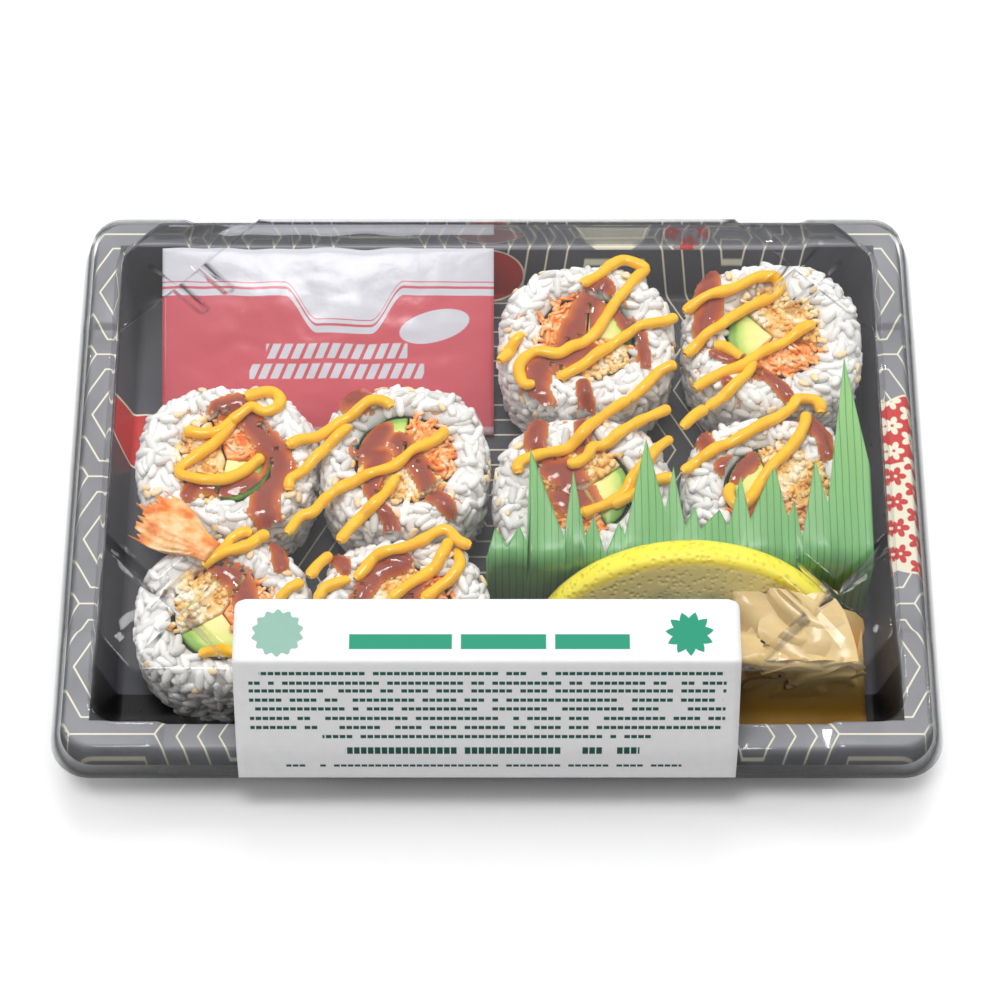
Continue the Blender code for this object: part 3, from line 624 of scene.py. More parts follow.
def crumb_relief(x, y):
    spot = Vector((x * 700, y * 700, 1.0))
    crust = 0.0007 * noise.noise(spot) + 0.0005 * noise.noise(spot * 2.3)
    return crust + 0.0004 * abs(noise.noise(spot * 0.4))


def shred_relief(x, y):
    lean = x * 0.8 + y * 0.6
    spot = Vector((lean * 260, (y * 0.8 - x * 0.6) * 900, 4.0))
    return 0.0006 * noise.noise(spot) + 0.0004 * noise.noise(spot * 2.1)


def flesh_relief(x, y):
    return 0.0003 * noise.noise(Vector((x * 200, y * 200, 9.0)))


RELIEFS = {"shrimp": crumb_relief, "crab_mix": shred_relief, "avocado": flesh_relief}


def filling_mesh(kind, box, start, share):
    middle = roll_middle(box)
    half = math.radians(share) / 2
    outline = wedge_outline(middle, math.radians(start) + half, half)
    heart = sum(outline, Vector((0, 0))) / len(outline)
    bump = RELIEFS[kind]
    points = [(p.x, p.y, ROLL_FOOT_Z) for p in outline]
    points += [(p.x, p.y, FILLING_RIM_Z - 0.0012) for p in outline]
    rings = FILLING_RINGS
    for r in range(rings):
        scale = (1 - r / rings) ** 0.85
        for p in outline:
            spot = heart + (p - heart) * scale * 0.985
            z = FILLING_RIM_Z + 0.0008 * math.sqrt(r / rings) + bump(spot.x, spot.y)
            points.append((spot.x, spot.y, min(z, FILLING_PEAK_Z)))
    points.append((heart.x, heart.y, FILLING_RIM_Z + 0.0010))
    rows = rings + 2
    faces = grid_faces(rows, len(outline), closed=True)
    last = (rows - 1) * len(outline)
    tip = len(points) - 1
    faces += [(last + i, last + (i + 1) % len(outline), tip) for i in range(len(outline))]
    faces.append(tuple(reversed(range(len(outline)))))
    return points, faces


def make_filling_finishes():
    shrimp, tree, shader = new_finish("tempura", (0.85, 0.55, 0.22, 1), Roughness=0.5)
    colour = colours(
        tree, grain(tree, 260),
        (0.30, (0.62, 0.26, 0.05, 1)), (0.43, (0.92, 0.52, 0.13, 1)),
        (0.56, (0.96, 0.74, 0.40, 1)), (0.72, (0.98, 0.90, 0.76, 1)),
    )
    tree.links.new(colour, shader.inputs["Base Color"])
    relief(tree, grain(tree, 1800), 0.0003)
    crab, tree, shader = new_finish("crab_mix", (0.9, 0.3, 0.06, 1), Roughness=0.35)
    colour = colours(
        tree, grain(tree, 330, stretch=(1, 1.8, 1)),
        (0.33, (0.86, 0.16, 0.02, 1)), (0.46, (0.97, 0.36, 0.07, 1)),
        (0.60, (0.97, 0.56, 0.25, 1)), (0.72, (0.97, 0.82, 0.68, 1)),
    )
    tree.links.new(colour, shader.inputs["Base Color"])
    relief(tree, grain(tree, 1300, stretch=(1, 2, 1)), 0.0003)
    avocado, tree, shader = new_finish("avocado", (0.75, 0.74, 0.25, 1), Roughness=0.3)
    edge = add(tree, "Attribute", attribute_name="skin_side")["Fac"]
    mottle = maths(tree, "MULTIPLY_ADD", grain(tree, 300), 0.25, edge)
    colour = colours(
        tree, mottle,
        (0.30, (0.90, 0.80, 0.36, 1)), (0.75, (0.72, 0.76, 0.22, 1)),
        (0.95, (0.40, 0.60, 0.10, 1)), (1.0, (0.22, 0.42, 0.07, 1)),
    )
    tree.links.new(colour, shader.inputs["Base Color"])
    relief(tree, grain(tree, 600), 0.0001)
    return {"shrimp": shrimp, "crab_mix": crab, "avocado": avocado}


FILLING_FINISHES = make_filling_finishes()
CRUMB_SHAPE = spindle(6, 4, 0.7, 0.4)
CRUMB_REACH = 0.0128


def loose_bits(kind, box, start, share, dice):
    """Crumbs of batter or shreds of crab that lie on a filling."""
    middle = roll_middle(box)
    placed = []
    for _ in range(130 if kind == "shrimp" else 60):
        angle = math.radians(start + dice.uniform(4, share - 4))
        reach = CRUMB_REACH * math.sqrt(dice.uniform(0.04, 1.0))
        x = middle.x + reach * math.cos(angle)
        y = middle.y + reach * math.sin(angle)
        z = FILLING_RIM_Z + 0.0006 + RELIEFS[kind](x, y)
        axes = axes_on((0, 0, 1), dice.uniform(0, math.pi), dice.uniform(-0.25, 0.25))
        if kind == "shrimp":
            size = dice.uniform(0.0008, 0.0019)
            sizes = (size * 1.4, size, size * 0.8)
        else:
            size = dice.uniform(0.0009, 0.0015)
            sizes = (dice.uniform(0.0028, 0.0048), size, size * 0.8)
        placed.append((Vector((x, y, z)), axes, sizes))
    return scatter_mesh(CRUMB_SHAPE, placed)


def make_filling(letter, kind, box, start, share, dice):
    points, faces = filling_mesh(kind, box, start, share)
    if kind != "avocado":
        bits, bit_faces = loose_bits(kind, box, start, share, dice)
        faces += [tuple(len(points) + i for i in face) for face in bit_faces]
        points = np.concatenate([np.array(points), bits])
    piece = new_piece(f"{kind}_{letter}", points, faces, FILLING_FINISHES[kind])
    if kind == "avocado":
        middle = roll_middle(box)
        skin = piece.data.attributes.new("skin_side", "FLOAT", "POINT")
        reach = [min(1.0, (Vector(p).xy - middle.xy).length / FILLING_REACH) for p in points]
        skin.data.foreach_set("value", np.array(reach, np.float32))
    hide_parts(f"roll_{letter}_{kind}")
    return piece


for number, (letter, (box, start, way)) in enumerate(ROLLS.items()):
    dice = random.Random(500 + number)
    for kind, share in FILLING_SHARES:
        end = start + way * share
        food[letter].append(make_filling(letter, kind, box, min(start, end), share, dice))
        start = end


# Sesame seeds: flat teardrops pressed into the rice, most of them on the rolls' sides.
SEED_SIZE = (0.0030, 0.0019, 0.0010)
SEEDS_A_ROLL = 26
SEED_BANDS = ((0.10, 0.70), (0.55, 0.74), (0.70, 0.90))


def make_seed_finish():
    material, tree, shader = new_finish("sesame", (0.75, 0.52, 0.26, 1), Roughness=0.45)
    own = add(tree, "NewGeometry")["Random Per Island"]
    colour = colours(
        tree, own,
        (0.0, (0.80, 0.60, 0.34, 1)), (0.6, (0.88, 0.68, 0.38, 1)), (1.0, (0.66, 0.34, 0.12, 1)),
    )
    colour = blend(tree, grain(tree, 1200), colour, (0.92, 0.76, 0.50, 1))
    tree.links.new(colour, shader.inputs["Base Color"])
    relief(tree, grain(tree, 2500), 0.00005)
    return material


def make_seeds():
    dice = random.Random(41)
    placed = []
    for box, *_ in ROLLS.values():
        for _ in range(SEEDS_A_ROLL):
            angle = dice.uniform(0, 2 * math.pi)
            _, length = rice_point(box, angle, 0.0)
            climb = length * dice.choice([dice.uniform(*band) for band in SEED_BANDS])
            point, _ = rice_point(box, angle, climb)
            normal = rice_normal(box, angle, climb)
            axes = axes_on(normal, dice.uniform(0, math.pi), dice.uniform(-0.2, 0.2))
            scale = dice.uniform(0.8, 1.05)
            sizes = tuple(size * scale for size in SEED_SIZE)
            placed.append((point + normal * 0.0004, axes, sizes))
    seeds, faces = scatter_mesh(spindle(8, 6, 0.8, 0.1), placed)
    piece = new_piece("sesame_seeds", seeds, faces, make_seed_finish())


make_seeds()


# The dark sauce: thick brown glaze poured over the rolls in ribbons. It lies as a draped skin that
# follows the grains below, thick and dark in the middle of a ribbon, thin and amber at its edges.
# Each ribbon is the spots it runs through in the photograph and half its width there, in mm.
FOOD_TOP_Z = 0.0275
SAUCE_CELL = 0.00055
SAUCE_THICKNESS = 0.0012
SAUCE_SHRINK = 0.03
SAUCE_WOBBLE = 0.14
SAUCE_LOWEST_Z = 0.0200
SAUCE_DRAPES = 2
SAUCE_PASSES = 6
SAUCE_SINK = 0.0003
SAUCE_RIBBONS = {
    "a": (
        ((219, 407, 3.2), (238, 403, 3.6), (258, 429, 3.6), (274, 448, 4.2), (280, 467, 4.6),
         (266, 487, 4.6), (264, 508, 4.4), (270, 522, 4.0)),
        ((252, 480, 3.6), (226, 487, 3.4), (196, 478, 3.0), (188, 493, 2.6)),
    ),
    "b": (
        ((355, 394, 5.4), (354, 397, 5.2)),
        ((383, 426, 3.2), (371, 441, 4.0), (361, 447, 3.6), (379, 454, 3.8), (371, 486, 2.6),
         (376, 499, 2.2), (388, 515, 2.4), (394, 531, 2.8)),
        ((399, 438, 3.6), (421, 467, 3.4), (428, 486, 3.0), (440, 499, 2.8), (450, 509, 2.2)),
    ),
    "c": (
        ((277, 535, 2.8), (279, 551, 2.4), (282, 566, 2.2)),
        ((215, 562, 3.0), (238, 575, 4.2), (245, 595, 4.0)),
    ),
    "d": (
        ((389, 553, 2.6), (408, 561, 2.2), (376, 571, 3.4), (364, 587, 3.2), (360, 597, 3.0)),
        ((415, 583, 3.0), (405, 594, 3.0)),
        ((325, 541, 2.6), (332, 553, 2.6), (342, 561, 2.2), (346, 569, 1.8)),
    ),
    "e": (
        ((603, 285, 3.6), (590, 300, 4.8), (583, 317, 5.0), (573, 330, 4.4), (566, 345, 3.4)),
        ((618, 304, 2.4), (626, 318, 2.8), (639, 334, 2.2), (644, 350, 2.0), (646, 363, 1.8)),
        ((594, 347, 2.4), (566, 356, 3.4), (547, 359, 4.0), (537, 370, 4.4), (535, 389, 4.6),
         (540, 406, 4.4)),
        ((584, 382, 2.2), (587, 402, 2.8), (582, 421, 2.8), (579, 434, 2.6)),
    ),
    "f": (
        ((708, 270, 3.8), (708, 290, 4.2), (711, 305, 4.2), (704, 325, 3.6), (703, 335, 2.4)),
        ((714, 352, 1.8), (729, 358, 1.8), (743, 354, 1.8)),
        ((761, 368, 2.2), (777, 381, 2.4), (788, 393, 2.2)),
        ((727, 380, 2.0), (731, 383, 1.8)),
    ),
    "g": (
        ((537, 423, 3.4), (535, 442, 3.4), (540, 450, 2.8)),
        ((582, 423, 2.6), (584, 447, 2.4)),
        ((550, 466, 3.8), (565, 470, 5.2), (572, 483, 5.8), (581, 492, 5.4), (572, 503, 4.4),
         (560, 494, 4.0)),
        ((667, 396, 1.8), (668, 410, 1.8)),
    ),
    "h": (
        ((701, 419, 2.4), (704, 435, 2.6), (709, 448, 2.8)),
        ((725, 464, 3.2), (738, 461, 3.0), (755, 454, 2.4), (735, 472, 2.8)),
        ((765, 490, 2.6), (764, 500, 3.4), (759, 511, 3.4)),
        ((803, 406, 2.4), (812, 419, 2.8), (824, 436, 2.8), (827, 451, 2.4)),
    ),
}


def make_sauce_finish():
    material, tree, shader = new_finish("dark_sauce", (0.2, 0.04, 0.01, 1), Roughness=0.06, Coat_Weight=0.5)
    shader.inputs["Coat Roughness"].default_value = 0.03
    depth = add(tree, "Attribute", attribute_name="depth")["Fac"]
    colour = colours(
        tree, depth,
        (0.0, (0.80, 0.40, 0.08, 1)), (0.35, (0.68, 0.22, 0.035, 1)),
        (0.7, (0.46, 0.085, 0.022, 1)), (1.0, (0.28, 0.045, 0.018, 1)),
    )
    tree.links.new(colour, shader.inputs["Base Color"])
    cover = add(tree, "MapRange", {"Value": depth, "From Max": 0.45, "To Min": 0.20, "To Max": 0.95})[0]
    tree.links.new(cover, shader.inputs["Alpha"])
    relief(tree, grain(tree, 160, 1.0), 0.0004, 0.4)
    return material


def shape_under(pieces):
    """A search tree of the pieces' faces, to find what lies under a point."""
    points = []
    faces = []
    for piece in pieces:
        first = len(points)
        points += [vertex.co[:] for vertex in piece.data.vertices]
        faces += [tuple(first + i for i in face.vertices) for face in piece.data.polygons]
    return BVHTree.FromPolygons(points, faces)


def height_under(tree, x, y):
    hit = tree.ray_cast(Vector((x, y, 0.05)), Vector((0.0, 0.0, -1.0)))
    return hit[0].z if hit[0] else None


def ribbon_depth(x, y, ribbons):
    """How deep a point is inside the nearest ribbon: 0 at its edge, 1 in its middle."""
    deepest = 0.0
    for ribbon in ribbons:
        for (ax, ay, aw), (bx, by, bw) in zip(ribbon, ribbon[1:]):
            run_x = bx - ax
            run_y = by - ay
            share = ((x - ax) * run_x + (y - ay) * run_y) / (run_x ** 2 + run_y ** 2)
            share = min(1.0, max(0.0, share))
            away = math.hypot(x - ax - run_x * share, y - ay - run_y * share)
            deepest = max(deepest, 1 - away / (aw + (bw - aw) * share))
    return deepest


def sauce_ribbons(letter):
    """The ribbons of a roll as places and half widths on the pack."""
    ribbons = []
    for traced in SAUCE_RIBBONS[letter]:
        ribbons.append([(*on_level(px, py, FOOD_TOP_Z), half_mm * 0.001) for px, py, half_mm in traced])
    return ribbons


SAUCE_FINISH = make_sauce_finish()


def make_sauce(letter, below):
    ribbons = sauce_ribbons(letter)
    spots = [spot for ribbon in ribbons for spot in ribbon]
    x0 = min(x - w for x, _, w in spots) - 0.001
    x1 = max(x + w for x, _, w in spots) + 0.001
    y0 = min(y - w for _, y, w in spots) - 0.001
    y1 = max(y + w for _, y, w in spots) + 0.001
    columns = int((x1 - x0) / SAUCE_CELL) + 2
    rows = int((y1 - y0) / SAUCE_CELL) + 2
    ground = np.full((rows, columns), np.nan)
    depth = np.zeros((rows, columns))
    for r in range(rows):
        for c in range(columns):
            x = x0 + c * SAUCE_CELL
            y = y0 + r * SAUCE_CELL
            wobble = noise.noise(Vector((x * 330, y * 330, 3.0)))
            deep = ribbon_depth(x, y, ribbons) - SAUCE_SHRINK + SAUCE_WOBBLE * wobble
            if deep <= 0.0:
                continue
            z = height_under(below, x, y)
            if z is None or z < SAUCE_LOWEST_Z:
                continue
            ground[r, c] = z
            depth[r, c] = deep
    level = ground.copy()
    for turn in range(SAUCE_PASSES):
        padded = np.pad(level, 1, constant_values=np.nan)
        around = np.stack([padded[i:i + rows, j:j + columns] for i in range(3) for j in range(3)])
        known = np.where(np.isnan(around), 0.0, around)
        count = (~np.isnan(around)).sum(0)
        draped = known.max(0) if turn < SAUCE_DRAPES else known.sum(0) / np.maximum(count, 1)
        level = np.where(np.isnan(ground), np.nan, draped)
    points = []
    depths = []
    index = {}
    for r in range(rows):
        for c in range(columns):
            if np.isnan(level[r, c]):
                continue
            deep = depth[r, c]
            over = smooth_step(deep, 0.0, 0.35)
            height = ground[r, c] + (level[r, c] - ground[r, c]) * over
            swell = SAUCE_THICKNESS * math.sqrt(deep)
            index[r, c] = len(points)
            points.append((x0 + c * SAUCE_CELL, y0 + r * SAUCE_CELL, height + swell - SAUCE_SINK))
            depths.append(min(1.0, deep ** 0.6 * 1.25))
    faces = []
    for r, c in index:
        corners = [(r, c), (r, c + 1), (r + 1, c + 1), (r + 1, c)]
        if all(corner in index for corner in corners):
            faces.append(tuple(index[corner] for corner in corners))
    sauce = new_piece(f"sauce_{letter}", points, faces, SAUCE_FINISH)
    thick = sauce.data.attributes.new("depth", "FLOAT", "POINT")
    thick.data.foreach_set("value", np.array(depths, np.float32))
    return sauce


for letter in ROLLS:
    food[letter].append(make_sauce(letter, shape_under(food[letter])))


# The spicy mayonnaise: orange-yellow strands squeezed to and fro over the rolls, fatter in places.
# Each strand is the spots that it runs through in the photograph.
MAYO_RADIUS = 0.00145
MAYO_STEP = 0.0006
MAYO_AROUND = 10
MAYO_SAG_Z = 0.0262
MAYO_LOWEST_Z = 0.0240
MAYO_STRANDS = {
    "a": (
        ((245, 399), (261, 392), (274, 391), (280, 398), (276, 407), (264, 411), (252, 407),
         (242, 413), (229, 421)),
        ((185, 429), (201, 432), (219, 429), (231, 420), (224, 431), (212, 443), (194, 456),
         (180, 466), (181, 473), (201, 480), (219, 479), (240, 471), (252, 462), (263, 454)),
    ),
    "b": (
        ((287, 447), (300, 440), (319, 435), (338, 422), (351, 416), (371, 402), (386, 402), (391, 407)),
        ((350, 426), (338, 436), (319, 453), (300, 472), (290, 480), (289, 490)),
        ((446, 427), (438, 436), (415, 448), (399, 461), (382, 470), (360, 477), (342, 487),
         (325, 498), (313, 511), (300, 516), (287, 533)),
        ((397, 475), (387, 490), (376, 504), (360, 516), (347, 530), (339, 541)),
    ),
    "c": (
        ((252, 532), (244, 531), (230, 538), (226, 546), (212, 554), (203, 556)),
        ((269, 533), (258, 537), (245, 547), (227, 552), (211, 560), (203, 566)),
        ((302, 581), (289, 589), (277, 599)),
        ((235, 652), (222, 648), (208, 650), (199, 654)),
    ),
    "d": (
        ((471, 545), (459, 540), (447, 529), (434, 532), (415, 544), (397, 551), (376, 556),
         (365, 568), (355, 578)),
        ((331, 553), (318, 564), (309, 576)),
        ((350, 579), (338, 583), (324, 588), (316, 600)),
        ((450, 538), (443, 553), (435, 566), (421, 576), (405, 588), (389, 599)),
        ((456, 545), (460, 563), (451, 577), (437, 587), (422, 599)),
    ),
    "e": (
        ((582, 284), (600, 275), (610, 265), (624, 259), (640, 264), (645, 268), (637, 275),
         (626, 289), (616, 300), (605, 316), (593, 333), (582, 342), (572, 346), (558, 353),
         (537, 351), (525, 358), (519, 369), (524, 384), (535, 385)),
        ((677, 315), (665, 321), (642, 326), (622, 336), (600, 351), (583, 363), (563, 373), (560, 378)),
        ((499, 360), (508, 350), (515, 341), (523, 335)),
        ((676, 363), (659, 370), (646, 384), (629, 398)),
    ),
    "f": (
        ((684, 311), (696, 303), (709, 297), (726, 292), (743, 284), (759, 277), (774, 277),
         (780, 285), (769, 296), (754, 303), (735, 313), (720, 325), (703, 339), (685, 354)),
        ((714, 343), (725, 345), (735, 352), (741, 356)),
        ((815, 322), (804, 326), (788, 338), (769, 347), (756, 354), (743, 363), (722, 372),
         (707, 379), (695, 388)),
        ((754, 358), (748, 371), (738, 382), (722, 396), (707, 407)),
    ),
    "g": (
        ((629, 398), (610, 410), (593, 423), (581, 436), (566, 447), (550, 451), (528, 458),
         (518, 466), (519, 474)),
        ((670, 407), (659, 412), (642, 419), (626, 428), (607, 442), (593, 446), (587, 455),
         (575, 463), (567, 463)),
        ((672, 437), (659, 446), (646, 461), (633, 475), (626, 488), (608, 501), (590, 509), (581, 512)),
        ((675, 476), (659, 480), (643, 489), (627, 496), (611, 502)),
    ),
    "h": (
        ((821, 412), (820, 403), (812, 397), (798, 398), (791, 407), (775, 418), (755, 429),
         (735, 440), (720, 446), (708, 454), (696, 461), (682, 471)),
        ((707, 407), (694, 415), (682, 427)),
        ((806, 413), (805, 423), (798, 437), (786, 451), (775, 461), (767, 471), (759, 482),
         (752, 495), (744, 503), (735, 502), (729, 492), (732, 481)),
    ),
}


def smooth_path(points, step):
    """Points every step along a smooth curve through the given ones."""
    padded = [points[0] * 2 - points[1], *points, points[-1] * 2 - points[-2]]
    path = []
    for before, start, end, after in zip(padded, padded[1:], padded[2:], padded[3:]):
        count = max(1, round((end - start).length / step))
        for i in range(count):
            t = i / count
            bend = (before * -1 + start * 3 - end * 3 + after) * t ** 3
            bend += (before * 2 - start * 5 + end * 4 - after) * t ** 2
            path.append((bend + (end - before) * t) * 0.5 + start)
    path.append(points[-1])
    return path


def tube(path, radii, around, flat=1.0):
    """A closed rope of uneven thickness along a path."""
    points = []
    for i, centre in enumerate(path):
        ahead = (path[min(i + 1, len(path) - 1)] - path[max(i - 1, 0)]).normalized()
        across = ahead.cross(Vector((0.0, 0.0, 1.0))).normalized()
        up = across.cross(ahead)
        for k in range(around):
            turn = 2 * math.pi * k / around
            points.append(centre + (across * math.cos(turn) + up * math.sin(turn) * flat) * radii[i])
    faces = grid_faces(len(path), around, closed=True)
    faces.append(tuple(range(around)))
    last = (len(path) - 1) * around
    faces.append(tuple(reversed(range(last, last + around))))
    return points, faces


def strand_mesh(traced, below):
    path = smooth_path([Vector(on_level(px, py, FOOD_TOP_Z)) for px, py in traced], MAYO_STEP)
    heights = [height_under(below, spot.x, spot.y) for spot in path]
    heights = [MAYO_SAG_Z if z is None or z < MAYO_LOWEST_Z else z for z in heights]
    count = len(path)
    high = [max(heights[max(0, i - 1):i + 2]) for i in range(count)]
    even = [sum(high[max(0, i - 3):i + 4]) / len(high[max(0, i - 3):i + 4]) for i in range(count)]
    line = []
    radii = []
    for i, (spot, z) in enumerate(zip(path, even)):
        end = min(i, count - 1 - i) * MAYO_STEP / MAYO_RADIUS
        close = math.sqrt(1 - (1 - min(1.0, (end + 0.15))) ** 2)
        swell = 1 + 0.22 * noise.noise(Vector((spot.x * 260, spot.y * 260, 7.0)))
        radii.append(MAYO_RADIUS * close * swell)
        line.append(Vector((spot.x, spot.y, z + MAYO_RADIUS * 0.55)))
    return tube(line, radii, MAYO_AROUND, 0.85)


def make_mayo_finish():
    material, tree, shader = new_finish("spicy_mayonnaise", (1.0, 0.52, 0.02, 1), Roughness=0.14)
    colour = blend(tree, grain(tree, 220), (1.0, 0.42, 0.005, 1), (1.0, 0.62, 0.02, 1))
    tree.links.new(colour, shader.inputs["Base Color"])
    relief(tree, grain(tree, 700, 2.0), 0.00015, 0.5)
    return material


MAYO_FINISH = make_mayo_finish()
under = shape_under([piece for pieces in food.values() for piece in pieces])
for letter, strands in MAYO_STRANDS.items():
    points = []
    faces = []
    for traced in strands:
        more, more_faces = strand_mesh(traced, under)
        faces += [tuple(len(points) + i for i in face) for face in more_faces]
        points += more
    mayo = new_piece(f"mayo_{letter}", points, faces, MAYO_FINISH)


# The shrimp tail: a fried tail fan that sticks out of the left rolls. Thin orange shell with fine
# ribs that spread towards a ragged end.
TAIL_ROOT = Vector((-0.0670, -0.0262))
TAIL_TURN = math.radians(146)
TAIL_Z = 0.0290
TAIL_LENGTH = 0.0225
TAIL_ROWS = 26
TAIL_COLUMNS = 33


def pillow_faces(rows, columns):
    """Faces of an upper and a lower grid of points, joined along their border."""
    count = rows * columns
    faces = grid_faces(rows, columns)
    faces += [tuple(reversed(face)) for face in grid_faces(rows, columns, first=count)]
    border = list(range(columns)) + [r * columns + columns - 1 for r in range(1, rows)]
    border += [(rows - 1) * columns + c for c in range(columns - 2, -1, -1)]
    border += [r * columns for r in range(rows - 2, 0, -1)]
    for i, a in enumerate(border):
        b = border[(i + 1) % len(border)]
        faces.append((b, a, a + count, b + count))
    return faces


def make_tail():
    material, tree, shader = new_finish("shrimp_shell", (0.9, 0.35, 0.1, 1), Roughness=0.3)
    streaks = grain(tree, 260, stretch=(1.0, 1.0, 0.3))
    colour = colours(
        tree, streaks,
        (0.35, (0.72, 0.17, 0.02, 1)), (0.5, (0.93, 0.38, 0.10, 1)), (0.68, (0.96, 0.62, 0.32, 1)),
    )
    tree.links.new(colour, shader.inputs["Base Color"])
    relief(tree, grain(tree, 1100), 0.0003)
    along = Vector((math.cos(TAIL_TURN), math.sin(TAIL_TURN)))
    across = Vector((-along.y, along.x))
    rows = TAIL_ROWS
    columns = TAIL_COLUMNS
    points = []
    for side in (1, -1):
        for r in range(rows):
            for c in range(columns):
                s = 2 * c / (columns - 1) - 1
                ragged = 1 - 0.16 * abs(noise.noise(Vector((s * 6.0, 2.0, 0)))) * 2 - 0.10 * s * s
                ragged -= 0.09 * (abs(math.sin(s * 9.5)) ** 0.5)
                t = r / (rows - 1)
                reach = TAIL_LENGTH * t * (ragged if t > 0.5 else 1 - (1 - ragged) * 2 * t)
                half = 0.0030 + 0.0042 * smooth_step(t, 0.0, 0.75)
                rib = 0.00022 * math.cos(s * 26) * t
                bulge = 0.0012 * (1 - s * s) * (1 - 0.7 * t) + 0.00025
                place = TAIL_ROOT + along * reach + across * (half * s)
                points.append((place.x, place.y, TAIL_Z + side * bulge + rib + 0.0008 * t * math.cos(s * 3)))
    tail = new_piece("tail_fan", points, pillow_faces(rows, columns), material)
    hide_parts("shrimp_tail")


make_tail()


# The leaf divider: a thin green plastic sheet with spikes cut into its upper edge. It stands in
# front of the right-hand rolls, bends back over their tops and is ribbed like a bamboo leaf.
LEAF_SPIKES = (
    (-0.0025, -0.0004, 0.0345, 0.0270),
    (0.0025, 0.0054, 0.0345, 0.0295),
    (0.0070, 0.0080, 0.0550, 0.0305),
    (0.0159, 0.0182, 0.0485, 0.0320),
    (0.0209, 0.0230, 0.0375, 0.0320),
    (0.0256, 0.0289, 0.0360, 0.0280),
    (0.0303, 0.0357, 0.0570, 0.0325),
    (0.0399, 0.0421, 0.0505, 0.0390),
    (0.0445, 0.0470, 0.0395, 0.0350),
    (0.0482, 0.0528, 0.0390, 0.0335),
    (0.0548, 0.0581, 0.0480, 0.0350),
    (0.0600, 0.0662, 0.0500, 0.0365),
    (0.0689, 0.0707, 0.0415, 0.0375),
    (0.0722, 0.0759, 0.0520, 0.0320),
    (0.0785, 0.0840, 0.0790, 0.0400),
)
LEAF_END = (0.0890, 0.0500)
LEAF_SHEET = 0.00025
LEAF_FOOT_Y = -0.0286
LEAF_FOOT_Z = 0.0022
LEAF_BEND_Z = 0.0258
LEAF_BEND_RADIUS = 0.0040
LEAF_BACK_RISE = 0.10
LEAF_RIB = 0.00165
LEAF_COLUMN = 0.0008
LEAF_ROWS = 26


def leaf_point(x, climb):
    """A point of the leaf at x, so far up along the sheet from its foot."""
    straight = LEAF_BEND_Z - LEAF_FOOT_Z
    turn = math.pi / 2 - LEAF_BACK_RISE
    curved = LEAF_BEND_RADIUS * turn
    angle = min(max(climb - straight, 0.0) / LEAF_BEND_RADIUS, turn)
    y = LEAF_FOOT_Y + LEAF_BEND_RADIUS * (1 - math.cos(angle))
    z = LEAF_FOOT_Z + min(climb, straight) + LEAF_BEND_RADIUS * math.sin(angle)
    beyond = max(climb - straight - curved, 0.0)
    wave = 0.0003 * math.sin(x * 420)
    return x, y + beyond * math.cos(LEAF_BACK_RISE) + wave, z + beyond * math.sin(LEAF_BACK_RISE) + wave


def make_leaf():
    material, tree, shader = new_finish("leaf_green", (0.05, 0.30, 0.10, 1), Roughness=0.3)
    place = add(tree, "SeparateXYZ", {0: add(tree, "TexCoord")["Object"]})
    wander = maths(tree, "MULTIPLY_ADD", grain(tree, 60), 0.0006, place[0])
    rib = maths(tree, "PINGPONG", wander, LEAF_RIB / 2)
    line = within(tree, rib, 0.00010, 0.00006)
    # Painted shade: the green darkens from the bent-back top down to the foot that stands in front of the
    # rolls, where less light falls.
    tip = add(tree, "MapRange", {"Value": place[1], "From Min": -0.028, "From Max": 0.012})[0]
    colour = blend(tree, tip, (0.085, 0.26, 0.085, 1), (0.28, 0.54, 0.17, 1))
    colour = blend(tree, grain(tree, 120, stretch=(3, 0.4, 0.4)), colour, (0.20, 0.48, 0.16, 1))
    colour = blend(tree, maths(tree, "MULTIPLY", line, 0.75), colour, (0.008, 0.12, 0.045, 1))
    tree.links.new(colour, shader.inputs["Base Color"])
    relief(tree, rib, 0.0004, 0.5)
    marks = []
    for begin, tip_x, tip_reach, cut_reach in LEAF_SPIKES:
        marks += [(begin, cut_reach), (tip_x, tip_reach)]
    marks.append(LEAF_END)
    mark_x = [x for x, _ in marks]
    mark_reach = [reach for _, reach in marks]
    count = int((mark_x[-1] - mark_x[0]) / LEAF_COLUMN)
    columns = sorted(set(mark_x) | {mark_x[0] + i * LEAF_COLUMN for i in range(1, count)})
    rows = LEAF_ROWS
    points = []
    for x in columns:
        reach = float(np.interp(x, mark_x, mark_reach))
        points += [leaf_point(x, reach * r / (rows - 1)) for r in range(rows)]
    leaf = new_piece("leaf_sheet", points, grid_faces(len(columns), rows), material)
    add_thickness(leaf, LEAF_SHEET, 0.0)
    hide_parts("leaf_divider")


make_leaf()


# The lemon: half of a lengthwise slice that stands on its cut edge and leans back on the leaf.
# Pored yellow rind, a band of cream pith and pale flesh in segments.
LEMON_MIDDLE_X = 0.0455
LEMON_FOOT_Y = -0.0425
LEMON_FOOT_Z = 0.0030
LEMON_HALF_LENGTH = 0.0390
LEMON_HEIGHT = 0.0368
LEMON_THICKNESS = 0.0076
LEMON_LEAN = math.radians(22)
LEMON_AROUND = 72
RIND_FROM = 0.90
PITH_FROM = 0.70


